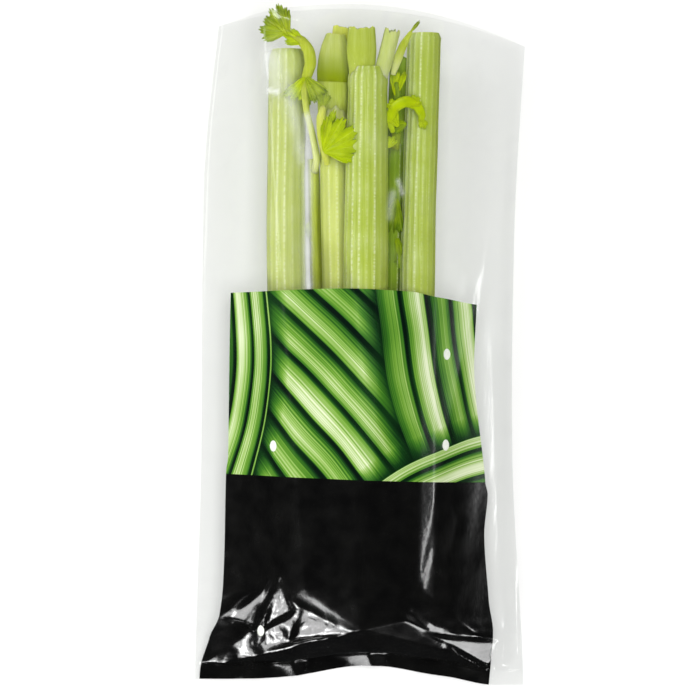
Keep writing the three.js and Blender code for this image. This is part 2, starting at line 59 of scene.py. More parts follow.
# a cubic through its knots, a little flatter than the chords at the inner ones
def curveThrough(knots, values, at):
    knots, values = np.array(knots, float), np.array(values, float)
    at = np.asarray(at, float)
    slopes = np.empty_like(values)
    slopes[0] = (values[1] - values[0]) / (knots[1] - knots[0])
    slopes[-1] = (values[-1] - values[-2]) / (knots[-1] - knots[-2])
    slopes[1:-1] = 0.7 * (values[2:] - values[:-2]) / (knots[2:] - knots[:-2])
    i = np.clip(np.searchsorted(knots, at) - 1, 0, len(knots) - 2)
    rise = knots[i + 1] - knots[i]
    t = np.clip((at - knots[i]) / rise, 0, 1)
    return (
        (2 * t**3 - 3 * t**2 + 1) * values[i]
        + (t**3 - 2 * t**2 + t) * rise * slopes[i]
        + (3 * t**2 - 2 * t**3) * values[i + 1]
        + (t**3 - t**2) * rise * slopes[i + 1]
    )


# 0 up to low, 1 from high on and a soft step between
def easeBetween(low, high, value):
    t = np.clip((np.asarray(value, float) - low) / (high - low), 0, 1)
    return t * t * (3 - 2 * t)


# straight up and down between 0, at the whole numbers, and 1
def zigzag(value):
    return np.abs(2 * (value - np.floor(value + 0.5)))


# one row for each point of a mesh: its place in metres, or its normal
def pointRows(piece, field="co"):
    flat = np.empty(len(piece.data.vertices) * 3)
    piece.data.vertices.foreach_get(field, flat)
    return flat.reshape(-1, 3)


# a flat grid whose points are moved to place(u, v), in mm; its UV map keeps u and v
def addSheet(name, across, along, place):
    deselectAll()
    bpy.ops.mesh.primitive_grid_add(x_subdivisions=across, y_subdivisions=along, size=1)
    sheet = bpy.context.object
    sheet.name = sheet.data.name = name
    square = pointRows(sheet)
    u = np.round((square[:, 0] + 0.5) * across) / across
    v = np.round((square[:, 1] + 0.5) * along) / along
    sheet.data.vertices.foreach_set("co", (place(u, v) * mm).ravel())
    sheet.data.update()
    return sheet, u, v


def addValues(piece, name, values):
    layer = piece.data.attributes.new(name, "FLOAT", "POINT")
    layer.data.foreach_set("value", np.asarray(values, np.float32))


# joins the first and last columns of a rolled-up grid and covers its two open ends
def closeTube(piece):
    pick(piece)
    bpy.ops.object.mode_set(mode="EDIT")
    bpy.ops.mesh.select_all(action="SELECT")
    bpy.ops.mesh.remove_doubles(threshold=0.02 * mm)
    bpy.ops.mesh.fill_holes(sides=0)
    bpy.ops.mesh.select_all(action="SELECT")
    bpy.ops.mesh.normals_make_consistent(inside=False)
    bpy.ops.object.mode_set(mode="OBJECT")
    return piece


# gives the covered ends, the faces with many corners, a small lip and the second material
def trimEnds(piece, lip=0.5, sink=0.35):
    pick(piece)
    bpy.ops.object.mode_set(mode="EDIT")
    bpy.ops.mesh.select_mode(type="FACE")
    bpy.ops.mesh.select_all(action="DESELECT")
    bpy.ops.object.mode_set(mode="OBJECT")
    for face in piece.data.polygons:
        face.select = len(face.vertices) > 8
        face.material_index = int(face.select)
    bpy.ops.object.mode_set(mode="EDIT")
    bpy.ops.mesh.inset(thickness=lip * mm, depth=-sink * mm, use_individual=True)
    bpy.ops.object.mode_set(mode="OBJECT")


def joinPieces(name, pieces):
    pick(pieces[0])
    for piece in pieces[1:]:
        piece.select_set(True)
    if len(pieces) > 1:
        bpy.ops.object.join()
    whole = bpy.context.object
    whole.name = whole.data.name = name
    return whole


# smooth but for the edges that turn more than this
def smoothShade(piece, degrees=50):
    pick(piece)
    bpy.ops.object.shade_smooth_by_angle(angle=math.radians(degrees))


def settle(piece, node):
    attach(piece, "root")
    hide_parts(node)
    return piece


# "#rrggbb" as it reads on a screen, to the linear values that shaders take
def shade(hexText):
    parts = [int(hexText[i : i + 2], 16) / 255 for i in (1, 3, 5)]
    linear = [c / 12.92 if c <= 0.04045 else ((c + 0.055) / 1.055) ** 2.4 for c in parts]
    return (*linear, 1.0)


# links are the inputs, each a value or the socket that feeds it; settings are the node's own
def addNode(tree, kind, links={}, **settings):
    made = tree.nodes.new(kind)
    for key, value in settings.items():
        setattr(made, key, value)
    for key, value in links.items():
        if isinstance(value, bpy.types.NodeSocket):
            tree.links.new(value, made.inputs[key])
        else:
            made.inputs[key].default_value = value
    return made


def newMaterial(name):
    made = bpy.data.materials.new(name)
    made.use_nodes = True
    made.node_tree.nodes.clear()
    return made, made.node_tree


def setStops(ramp, stops):
    elements = ramp.color_ramp.elements
    while len(elements) < len(stops):
        elements.new(0.5)
    for element, (place, hexText) in zip(elements, stops):
        element.position = place
        element.color = shade(hexText)


# Celery stalk skin: living waxy tissue over long strings. The furrows are greener and fine streaks run the
# whole length. Some strings carry a painted highlight, a row of pale dots of colour where light glints.
# From the share blanchTo of its length down it turns to the colour of the foot, by the share blanch. side
# paints
# light and shade across the stalk: below 0 the left is painted paler and the right deeper.
def stalkSkin(name, pale, mid, deep, foot="#dfe6bd", blanch=0.85, blanchTo=0.4, side=0.0):
    made, tree = newMaterial(name)
    coords = addNode(tree, "ShaderNodeTexCoord")
    uv = addNode(tree, "ShaderNodeSeparateXYZ", {0: coords.outputs["UV"]})
    rib = addNode(tree, "ShaderNodeAttribute", attribute_name="rib")
    paintedGlint = addNode(tree, "ShaderNodeAttribute", attribute_name="paintedGlint")
    # streaks 0.7 mm wide and about 40 mm long
    stretched = addNode(
        tree, "ShaderNodeMapping", {"Vector": coords.outputs["Object"], "Scale": (1400, 25, 1400)}
    )
    streaks = addNode(
        tree, "ShaderNodeTexNoise", {"Vector": stretched.outputs[0], "Scale": 1.0, "Detail": 3}
    )
    # blotches about 15 mm across
    blotches = addNode(
        tree, "ShaderNodeTexNoise", {"Vector": coords.outputs["Object"], "Scale": 65, "Detail": 2}
    )
    # 0 is pale, 1 is deep green
    ribTone = addNode(
        tree, "ShaderNodeMath", {0: rib.outputs["Fac"], 1: -0.13, 2: 0.51}, operation="MULTIPLY_ADD"
    )
    streakTone = addNode(
        tree,
        "ShaderNodeMath",
        {0: streaks.outputs[0], 1: 0.5, 2: ribTone.outputs[0]},
        operation="MULTIPLY_ADD",
    )
    blotchTone = addNode(
        tree,
        "ShaderNodeMath",
        {0: blotches.outputs[0], 1: 0.36, 2: streakTone.outputs[0]},
        operation="MULTIPLY_ADD",
    )
    # painted light and shade: with side, the tone shifts across the stalk, paler on one side and deeper on
    # the other
    paintedSideLight = addNode(
        tree,
        "ShaderNodeMath",
        {0: uv.outputs["X"], 1: side, 2: blotchTone.outputs[0]},
        operation="MULTIPLY_ADD",
    )
    centred = addNode(
        tree, "ShaderNodeMath", {0: paintedSideLight.outputs[0], 1: 0.46 + side * 0.33}, operation="SUBTRACT"
    )
    skin = addNode(tree, "ShaderNodeValToRGB", {"Fac": centred.outputs[0]})
    setStops(skin, [(0.05, pale), (0.45, mid), (0.9, deep)])
    lower = addNode(
        tree,
        "ShaderNodeMapRange",
        {"Value": uv.outputs["Y"], "From Min": 0.02, "From Max": blanchTo, "To Min": blanch, "To Max": 0.0},
        interpolation_type="SMOOTHSTEP",
    )
    toned = addNode(
        tree,
        "ShaderNodeMix",
        {0: lower.outputs[0], 6: skin.outputs[0], 7: shade(foot)},
        data_type="RGBA",
    )
    # beads 1.3 mm apart: small wax bumps on the strings, and the dots of painted highlight
    beadCoords = addNode(
        tree, "ShaderNodeMapping", {"Vector": coords.outputs["Object"], "Scale": (300, 800, 300)}
    )
    beads = addNode(
        tree, "ShaderNodeTexNoise", {"Vector": beadCoords.outputs[0], "Scale": 1.0, "Detail": 1}
    )
    glintBeadShare = addNode(
        tree,
        "ShaderNodeMapRange",
        {"Value": beads.outputs[0], "From Min": 0.4, "From Max": 0.62, "To Min": 0.1, "To Max": 0.62},
    )
    # painted highlight: pale dots of colour along the crests of the stronger strings
    paintedGlintShare = addNode(
        tree, "ShaderNodeMath", {0: glintBeadShare.outputs[0], 1: paintedGlint.outputs["Fac"]}, operation="MULTIPLY"
    )
    skinWithPaintedGlints = addNode(
        tree,
        "ShaderNodeMix",
        {0: paintedGlintShare.outputs[0], 6: toned.outputs[2], 7: shade("#eef3d2")},
        data_type="RGBA",
    )
    beadHeight = addNode(
        tree, "ShaderNodeMath", {0: beads.outputs[0], 1: rib.outputs["Fac"]}, operation="MULTIPLY"
    )
    fibre = addNode(
        tree,
        "ShaderNodeMath",
        {0: streaks.outputs[0], 1: 0.7, 2: beadHeight.outputs[0]},
        operation="MULTIPLY_ADD",
    )
    bump = addNode(
        tree, "ShaderNodeBump", {"Height": fibre.outputs[0], "Strength": 0.5, "Distance": 0.16 * mm}
    )
    gloss = addNode(
        tree,
        "ShaderNodeMapRange",
        {"Value": streaks.outputs[0], "From Min": 0.3, "From Max": 0.7, "To Min": 0.3, "To Max": 0.46},
    )
    surface = addNode(
        tree,
        "ShaderNodeBsdfPrincipled",
        {
            "Base Color": skinWithPaintedGlints.outputs[2],
            "Roughness": gloss.outputs[0],
            "Normal": bump.outputs[0],
            "IOR": 1.42,
            "Subsurface Weight": 0.45,
            "Subsurface Radius": (1.0, 1.0, 0.3),
            "Subsurface Scale": 3.5 * mm,
        },
    )
    addNode(tree, "ShaderNodeOutputMaterial", {"Surface": surface.outputs[0]})
    return made


# Cut celery flesh: wet, pale, with the ends of the strings as darker dots near the ribbed side.
def cutFlesh(name, base, dots):
    made, tree = newMaterial(name)
    coords = addNode(tree, "ShaderNodeTexCoord")
    # string ends 2.4 mm apart, blurred by patches of 5.5 mm
    cells = addNode(
        tree, "ShaderNodeTexVoronoi", {"Vector": coords.outputs["Object"], "Scale": 420}, feature="F1"
    )
    soft = addNode(
        tree, "ShaderNodeTexNoise", {"Vector": coords.outputs["Object"], "Scale": 180, "Detail": 4}
    )
    spread = addNode(
        tree, "ShaderNodeMath", {0: cells.outputs["Distance"], 1: soft.outputs[0]}, operation="MULTIPLY"
    )
    ramp = addNode(tree, "ShaderNodeValToRGB", {"Fac": spread.outputs[0]})
    setStops(ramp, [(0.03, dots), (0.16, base), (0.5, base)])
    bump = addNode(
        tree, "ShaderNodeBump", {"Height": soft.outputs[0], "Strength": 0.5, "Distance": 0.2 * mm}
    )
    surface = addNode(
        tree,
        "ShaderNodeBsdfPrincipled",
        {"Base Color": ramp.outputs[0], "Roughness": 0.5, "Normal": bump.outputs[0], "IOR": 1.4},
    )
    addNode(tree, "ShaderNodeOutputMaterial", {"Surface": surface.outputs[0]})
    return made


# Celery leaf: thin, soft and half see-through, yellower between paler veins, darker at its cut edge.
def leafBlade(name, bright, dark, vein):
    made, tree = newMaterial(name)
    coords = addNode(tree, "ShaderNodeTexCoord")
    veins = addNode(tree, "ShaderNodeAttribute", attribute_name="vein")
    edge = addNode(tree, "ShaderNodeAttribute", attribute_name="rim")
    # lighter and darker patches of about 6 mm
    patches = addNode(
        tree, "ShaderNodeTexNoise", {"Vector": coords.outputs["Object"], "Scale": 160, "Detail": 4}
    )
    tone = addNode(
        tree,
        "ShaderNodeMath",
        {0: edge.outputs["Fac"], 1: 0.35, 2: patches.outputs[0]},
        operation="MULTIPLY_ADD",
    )
    ramp = addNode(tree, "ShaderNodeValToRGB", {"Fac": tone.outputs[0]})
    setStops(ramp, [(0.3, bright), (0.85, dark)])
    veined = addNode(
        tree,
        "ShaderNodeMix",
        {0: veins.outputs["Fac"], 6: ramp.outputs[0], 7: shade(vein)},
        data_type="RGBA",
    )
    raised = addNode(
        tree,
        "ShaderNodeMath",
        {0: veins.outputs["Fac"], 1: -0.6, 2: patches.outputs[0]},
        operation="MULTIPLY_ADD",
    )
    bump = addNode(
        tree, "ShaderNodeBump", {"Height": raised.outputs[0], "Strength": 0.7, "Distance": 0.3 * mm}
    )
    surface = addNode(
        tree,
        "ShaderNodeBsdfPrincipled",
        {
            "Base Color": veined.outputs[2],
            "Roughness": 0.42,
            "Normal": bump.outputs[0],
            "IOR": 1.4,
            "Subsurface Weight": 0.35,
            "Subsurface Radius": (1.0, 1.0, 0.2),
            "Subsurface Scale": 1.5 * mm,
        },
    )
    addNode(tree, "ShaderNodeOutputMaterial", {"Surface": surface.outputs[0]})
    return made


# The foot of the head: where the outer stalks leave the root plate, and its widest place above that.
headFoot = {
    "footY": -155,
    "foot": {"x": 5, "z": 27.5, "halfWide": 20, "halfThick": 15.5},
    "shoulderY": -131,
    "shoulder": {"x": 1, "z": 29.2, "halfWide": 36, "halfThick": 21.5},
    "middleY": 30,
    "heartY": -137,
}

# Every stalk's section at the middle and the tip: x, z, width, depth and the way its ribbed back faces in
# degrees. turn is its place round the foot, joint and closing how high and how far its top is rounded off,
# and strings the strength of each rib from right to left.
outerStalks = {
    "stalk_left": {
        "turn": 144, "footWidth": 15, "shoulderWidth": 23, "ribs": 8, "tipY": 165,
        "joint": 13, "closing": 0.2,
        "middle": (-42, 28, 22, 13, 106), "tip": (-41.5, 26, 20.5, 11.5, 104),
        "strings": (0.1, 0.15, 0.3, 0.9, 1, 0.4, 0.5, 0.4),
    },
    "stalk_centre": {
        "turn": 88, "footWidth": 16, "shoulderWidth": 27, "ribs": 9, "tipY": 154,
        "joint": 11, "closing": 0.16,
        "middle": (2.7, 46.5, 24.5, 15, 89), "tip": (4, 45.5, 21.5, 13, 89),
        "strings": (0.1, 0.1, 0.2, 1, 0.3, 0.8, 1, 0.6, 0.6),
    },
    "stalk_right": {
        "turn": 37, "footWidth": 14, "shoulderWidth": 21, "ribs": 8, "tipY": 173.5,
        "joint": 4, "closing": 0.12,
        "middle": (31.1, 32, 19.2, 11.5, 90), "tip": (35.1, 31, 18, 10.5, 88),
        "strings": (0.1, 0.15, 0.2, 0.3, 1, 0.5, 1, 0.8),
    },
    "stalk_back_right": {
        "turn": -30, "footWidth": 13.5, "shoulderWidth": 20.5, "ribs": 8, "tipY": 158,
        "middle": (28, 9, 24, 12, -84), "tip": (30, 8.2, 22, 11, -86),
    },
    "stalk_back_centre": {
        "turn": -88, "footWidth": 15, "shoulderWidth": 25, "ribs": 9, "tipY": 163,
        "middle": (-3, 9.4, 25, 12.5, -90), "tip": (-4, 8.3, 23, 11, -90),
    },
    "stalk_back_left": {
        "turn": -146, "footWidth": 14, "shoulderWidth": 21, "ribs": 8, "tipY": 150,
        "middle": (-41.5, 8.4, 21, 11.5, -96), "tip": (-41, 8, 20, 10.5, -94),
    },
}
innerStalks = {
    "stalk_centre_left": {
        "ribs": 6, "tipY": 147, "joint": 6, "closing": 0.2,
        "foot": (-6.5, 37, 12, 7, 112), "middle": (-13.6, 31.5, 16, 10, 100),
        "tip": (-15.4, 31, 17, 10, 98),
    },
    "stalk_heart": {
        "ribs": 5, "tipY": 128,
        "foot": (8.5, 20.5, 13, 7, -92), "middle": (1, 24.5, 14.5, 9, 84), "tip": (2, 25, 13, 8, 84),
    },
}
stalkForm = {
    "ribHeight": 0.42,
    "weakestRib": 0.35,  # as a share of that height
    "ribSharpness": 1.8,
    "paintedGlintFrom": 0.75,  # the share of a rib's height above which the painted highlight shows
    "waver": 0.0022,  # how far the strings stray sideways, as a share of the way round
    "swell": (0.012, 0.008),  # slow and quick changes of width along a stalk
    "edgeThickness": 1.7,  # the thin margins
    "channelShare": 0.24,  # how deep the inner face is hollowed
    "backShare": 0.56,  # how much of the depth lies on the ribbed side of a station
    "footDepth": 6,
    "shoulderDepth": 10.5,
    "stepsPerRib": 9,
    "innerSteps": 26,
    "lipSteps": 4,
    "stepAlong": 2.6,
}


# a station on the ring of the foot or the shoulder, with the ribbed back facing outwards
def onRing(ring, turn, width, depth):
    t = math.radians(turn)
    facing = math.degrees(math.atan2(math.sin(t) / ring["halfThick"], math.cos(t) / ring["halfWide"]))
    return (
        ring["x"] + ring["halfWide"] * math.cos(t),
        ring["z"] + ring["halfThick"] * math.sin(t),
        width,
        depth,
        facing,
    )


# heights of a stalk's stations and the five values at each
def stationsOf(stalk):
    if "foot" in stalk:
        heights, rows = [headFoot["heartY"]], [stalk["foot"]]
    else:
        heights = [headFoot["footY"], headFoot["shoulderY"]]
        rows = [
            onRing(headFoot["foot"], stalk["turn"], stalk["footWidth"], stalkForm["footDepth"]),
            onRing(headFoot["shoulder"], stalk["turn"], stalk["shoulderWidth"], stalkForm["shoulderDepth"]),
        ]
    return heights + [headFoot["middleY"], stalk["tipY"]], rows + [stalk["middle"], stalk["tip"]]


# at share u of the way round: how high the rib stands, 0 to 1, the strength of its string and its full size
def ribsAt(u, ribs, backPart, strings):
    phase = np.clip(u / backPart, 0, 1) * ribs
    string = strings[np.clip(np.floor(phase), 0, ribs - 1).astype(int)]
    size = stalkForm["weakestRib"] + (1 - stalkForm["weakestRib"]) * string
    ridge = np.where(u <= backPart, np.abs(np.sin(np.pi * phase)) ** stalkForm["ribSharpness"], 0)
    return ridge * size, string, size


# the outline of a stalk at share u of the way round: ribbed back, then lip, hollow face and lip
def crescentAt(u, width, depth, ridge, backPart, lipPart):
    edge = stalkForm["edgeThickness"]
    half = width / 2
    t = np.pi * np.clip(u / backPart, 0, 1)
    lift = stalkForm["ribHeight"] * ridge
    backX, backZ = (half + lift) * np.cos(t), (depth + lift) * np.sin(t)
    lipA = np.pi * (1 + np.clip((u - backPart) / lipPart, 0, 1))
    leftX, leftZ = -(half - edge / 2) + edge / 2 * np.cos(lipA), edge / 2 * np.sin(lipA)
    s = np.clip((u - backPart - lipPart) / (1 - backPart - 2 * lipPart), 0, 1)
    innerX = -(half - edge) * np.cos(np.pi * s)
    innerZ = depth * stalkForm["channelShare"] * np.sin(np.pi * s)
    lipB = np.pi * (1 + np.clip((u - 1 + lipPart) / lipPart, 0, 1))
    rightX, rightZ = half - edge / 2 + edge / 2 * np.cos(lipB), edge / 2 * np.sin(lipB)
    parts = [u <= backPart, u <= backPart + lipPart, u <= 1 - lipPart]
    across = np.select(parts, [backX, leftX, innerX], rightX)
    outward = np.select(parts, [backZ, leftZ, innerZ], rightZ)
    return across, outward


# a ribbed stalk with a rounded joint at its top where the table gives one
def sweepStalk(name, stalk):
    heights, rows = stationsOf(stalk)
    ribs = stalk["ribs"]
    backSteps = ribs * stalkForm["stepsPerRib"]
    around = backSteps + stalkForm["innerSteps"] + 2 * stalkForm["lipSteps"]
    backPart, lipPart = backSteps / around, stalkForm["lipSteps"] / around
    along = round((stalk["tipY"] - heights[0]) / stalkForm["stepAlong"])
    dice = np.random.default_rng(sum(map(ord, name)))
    wander = dice.uniform(0, fullTurn, 6)
    strings = np.array(stalk.get("strings") or dice.uniform(0, 1, ribs) ** 2)

    def place(u, v):
        y = heights[0] + (stalk["tipY"] - heights[0]) * v**1.1  # finer steps at the foot
        x, z, width, depth, facing = (
            curveThrough(heights, [row[k] for row in rows], y) for k in range(5)
        )
        slow, quick = stalkForm["swell"]
        swell = 1 + slow * np.sin(y / 23 + wander[0]) + quick * np.sin(y / 9.5 + wander[1])
        if "joint" in stalk:
            close = np.clip((y - stalk["tipY"] + stalk["joint"]) / stalk["joint"], 0, 1)
            rounding = stalk["closing"] * (1 - np.sqrt(1 - 0.96 * close**2)) / 0.8
            swell = swell * (1 + 0.04 * np.sin(np.pi * close**0.8) - rounding)
        stray = stalkForm["waver"] * np.sin(y / 17 + wander[2] + 5 * u) * np.sin(np.pi * u)
        wavered = np.clip(u + stray, 0, 1)
        width, depth = width * swell, depth * swell
        ridge = ribsAt(wavered, ribs, backPart, strings)[0]
        across, outward = crescentAt(wavered, width, depth, ridge, backPart, lipPart)
        outward = outward - depth * (1 - stalkForm["backShare"])
        turn = np.radians(facing)
        spotX = x + across * np.sin(turn) + outward * np.cos(turn)
        spotZ = z - across * np.cos(turn) + outward * np.sin(turn)
        return np.stack([spotX, y, spotZ], 1)

    piece, u, _ = addSheet(name, around, along, place)
    ridge, string, size = ribsAt(u, ribs, backPart, strings)
    addValues(piece, "rib", ridge)
    # where the painted highlight goes: the crests of the stronger strings
    crest = np.clip((ridge / size - stalkForm["paintedGlintFrom"]) / (1 - stalkForm["paintedGlintFrom"]), 0, 1)
    addValues(piece, "paintedGlint", crest * string)
    return closeTube(piece)


# a round stem through points of (x, y, z, radius, flatness), faintly ribbed; dome is the length over which
# its end is rounded off and ragged how far a torn end's fibres reach
def sweepStem(name, points, ribs, ribHeight, around, along, dome=0.0, ragged=0.0):
    table = np.array(points, float)
    reach = np.concatenate([[0], np.cumsum(np.linalg.norm(np.diff(table[:, :3], axis=0), axis=1))])

    def centreAt(at):
        at = np.clip(at, 0, reach[-1])
        return np.stack([curveThrough(reach, table[:, k], at) for k in range(3)], 1)

    def place(u, v):
        at = v * reach[-1]
        centre = centreAt(at)
        heading = centreAt(at + 0.4) - centreAt(at - 0.4)  # 0.4 mm to each side
        heading /= np.linalg.norm(heading, axis=1, keepdims=True)
        side = np.cross([0, 0, 1], heading)
        side /= np.linalg.norm(side, axis=1, keepdims=True)
        up = np.cross(heading, side)
        radius = curveThrough(reach, table[:, 3], at)
        flat = curveThrough(reach, table[:, 4], at)
        if dome:
            radius = radius * np.sqrt(1 - 0.9 * np.clip((at - reach[-1] + dome) / dome, 0, 1) ** 2)
        t = 2 * np.pi * u
        radius = radius + ribHeight * np.abs(np.sin(ribs * t / 2)) ** 2
        torn = 0.5 * np.sin(3 * t + len(name)) + 0.35 * np.sin(7 * t + 2) + 0.3 * np.sin(13 * t + 1)
        lastFifth = np.clip(v * 5 - 4, 0, 1)
        centre = centre + heading * (ragged * torn * lastFifth)[:, None]
        return centre + side * (radius * np.cos(t))[:, None] + up * (radius * flat * np.sin(t))[:, None]

    piece, u, _ = addSheet(name, around, along, place)
    addValues(piece, "rib", np.abs(np.sin(ribs * np.pi * u)) ** 2 * 0.6)
    addValues(piece, "paintedGlint", np.zeros(len(u)))
    return closeTube(piece)


# A celery leaf blade: lobes that fan out from the stem, each with a vein and teeth along its edge.
leafForm = {
    "notch": 0.3,  # how far the gaps between lobes cut in
    "teeth": 4,  # on each lobe
    "toothDepth": 0.13,
    "stemShare": 0.05,
    "fold": 0.12,  # how far the middle of each lobe sinks
    "waves": (0.035, 0.03),  # height of the long and the short ones
    "veinWidth": 0.12,
    "branches": 0.45,  # strength of the side veins
    "thickness": 0.5,
    "stepsPerLobe": 18,
    "along": 26,
}


# heading is where the middle lobe points, angle the whole fan in degrees, narrow how much shorter the
# outer lobes are, curl the bend along the leaf and roll its turn about its heading in degrees
def addLeaf(name, base, heading, length, seed, lobes, angle, narrow=0.25, curl=0.3, roll=0.0):
    ahead = Vector(heading).normalized()
    side = ahead.cross(Vector((0, 0, 1))).normalized()
    side.rotate(Quaternion(ahead, math.radians(roll)))
    up = np.array(side.cross(ahead).normalized())
    ahead, side, base = np.array(ahead), np.array(side), np.array(base, float)
    dice = np.random.default_rng(seed)
    wave, longer = dice.uniform(0, fullTurn, 3), dice.uniform(0.86, 1.08, lobes + 1)
    long, short = leafForm["waves"]

    def lobeAt(u):
        number = np.clip(np.floor(u * lobes), 0, lobes - 1).astype(int)
        return number, 1 - np.abs(2 * (u * lobes - number) - 1)

    def place(u, v):
        number, inLobe = lobeAt(u)
        edge = 1 - leafForm["notch"] * (1 - inLobe**0.4)
        tooth = zigzag(u * lobes * leafForm["teeth"] + 0.35 * inLobe)
        edge = edge - leafForm["toothDepth"] * tooth * (0.4 + inLobe)
        edge = edge * (1 - narrow * np.abs(2 * u - 1) ** 1.6) * longer[number]
        reach = v * edge
        turn = math.radians(angle) * (u - 0.5)
        width = leafForm["stemShare"] * (1 - v) * (2 * u - 1)
        along, across = reach * np.cos(turn), reach * np.sin(turn) + width
        lift = -leafForm["fold"] * inLobe * v * (1 - 0.3 * v)
        lift = lift + long * np.sin(9 * reach + wave[0] + 5 * u) * v
        lift = lift + short * np.sin(31 * u + wave[1]) * v**2
        level, drop = np.sin(curl * along) / curl, (1 - np.cos(curl * along)) / curl
        spots = base + np.outer(level * length, ahead) + np.outer(across * length, side)
        return spots + np.outer((lift - drop) * length, up)

    leaf, u, v = addSheet(name, leafForm["stepsPerLobe"] * lobes, leafForm["along"], place)
    inLobe = lobeAt(u)[1]
    main = np.exp(-(((1 - inLobe) / leafForm["veinWidth"]) ** 2)) * (1 - 0.7 * v)
    slanting = np.exp(-((np.sin(16 * v - 7 * inLobe) / 0.3) ** 2))
    branches = slanting * leafForm["branches"] * np.clip(2 * v, 0, 1)
    addValues(leaf, "vein", np.maximum(main, branches * (1 - v**3)))
    addValues(leaf, "rim", v**3)
    wall = leaf.modifiers.new("thickness", "SOLIDIFY")
    wall.thickness = leafForm["thickness"] * mm
    wall.offset = 0
    pick(leaf)
    bpy.ops.object.modifier_apply(modifier=wall.name)
    return leaf


# Skins and flesh, from screen colours.
skins = {
    "stalk_left": stalkSkin("celery skin left", "#d8e0a8", "#c4cf7e", "#a9b94a"),
    # side paints light and shade: these stalks are painted paler on the left and deeper on the right
    "stalk_centre": stalkSkin("celery skin centre", "#d6e19c", "#b1c250", "#94a81c", side=-0.36),
    "stalk_right": stalkSkin("celery skin right", "#dde9ae", "#b5c657", "#98ab24", side=-0.55),
    "stalk_back": stalkSkin("celery skin back", "#b4c470", "#90a838", "#6c8a18"),
    "inner": stalkSkin("celery skin inner", "#dde39e", "#ccd578", "#b4c04e"),
    "collar": stalkSkin(
        "celery skin collar", "#d0d890", "#c0cb6c", "#a8b53e", foot="#8fa000", blanch=1.0, blanchTo=0.8
    ),
    "joint": stalkSkin("celery skin joint", "#c6d27a", "#b3c14e", "#98a924", foot="#b2c048", blanch=0.6),
    "shoot": stalkSkin(
        "celery skin shoot", "#d6de80", "#b8c53c", "#98a71c", foot="#dde39c", blanch=0.95, blanchTo=0.66
    ),
    "petiole": stalkSkin("celery skin petiole", "#dfe482", "#d0d65e", "#b0bd2a", blanch=0.0),
    "heart": stalkSkin("celery skin heart", "#a9bc50", "#809c26", "#5e820f", foot="#a0b01c", blanchTo=0.6),
}
fleshOfCut = cutFlesh("cut celery", "#bfcc8a", "#8fa24c")
leafSkins = {
    "bright": leafBlade("celery leaf bright", "#c0d400", "#9cb200", "#d2dc50"),
    "olive": leafBlade("celery leaf olive", "#adbe1c", "#7f950a", "#cbd676"),
    "deep": leafBlade("celery leaf deep", "#94ac06", "#5f7e04", "#b6ca40"),
}


def dress(piece, *materials):
    for material in materials:
        piece.data.materials.append(material)
    return piece


built = {}
for name, stalk in {**outerStalks, **innerStalks}.items():
    skin = skins.get(name) or skins["stalk_back" if "back" in name else "inner"]
    piece = dress(sweepStalk(name + "_grown", stalk), skin, fleshOfCut)
    trimEnds(piece)
    built[name] = [piece]
print("stalks swept")

# The stubs above the joints: x, y, z, radius, flatness.
stubs = {
    "stalk_centre": [
        {
            "points": [
                (0.4, 146, 43.5, 6.2, 0.62), (0.4, 154, 44.8, 7.3, 0.64),
                (0.2, 163, 46.2, 8.1, 0.66), (0.4, 175, 46.2, 7.3, 0.66),
            ],
            "skin": "joint", "ribs": 9, "around": 72, "ragged": 1.1,
        },
        {
            "points": [(8.6, 143, 42, 3.4, 1), (12.2, 154, 45, 4.2, 1), (17.2, 173.5, 46, 4.3, 1)],
            "skin": "stalk_left", "ribs": 5, "around": 44, "ragged": 1.6,
        },
    ],
    "stalk_centre_left": [
        {
            "points": [
                (-15.6, 146, 33, 8.6, 0.6), (-15.4, 152, 33, 8.9, 0.6), (-15, 160, 33, 8.3, 0.62),
                (-14.4, 167, 33, 7, 0.66), (-14, 172.5, 33, 5.2, 0.7),
            ],
            "skin": "collar", "ribs": 8, "around": 64, "ragged": 0.5,
        },
        {
            "points": [
                (-15.4, 112, 25, 7.4, 0.62), (-15.6, 124, 29.5, 8, 0.62),
                (-15.6, 138, 32.6, 8.5, 0.62), (-15.6, 147.6, 33, 8.3, 0.6),
            ],
            "skin": "joint", "ribs": 11, "around": 88, "ragged": 0.2,
        },
        {
            "points": [(-12.5, 160, 26, 5, 0.5), (-11, 168, 26.5, 5.6, 0.5), (-10, 177, 27, 5.4, 0.5)],
            "skin": "petiole", "ribs": 6, "around": 40, "ragged": 0.8,
        },
    ],
}
for name, stems in stubs.items():
    for k, stem in enumerate(stems):
        piece = sweepStem(
            f"{name}_stub_{k}",
            stem["points"],
            stem["ribs"],
            ribHeight=0.14,
            around=stem["around"],
            along=26,
            ragged=stem["ragged"],
        )
        dress(piece, skins[stem["skin"]], fleshOfCut)
        trimEnds(piece, lip=0.6, sink=0.5)
        built[name].append(piece)
print("stubs added")

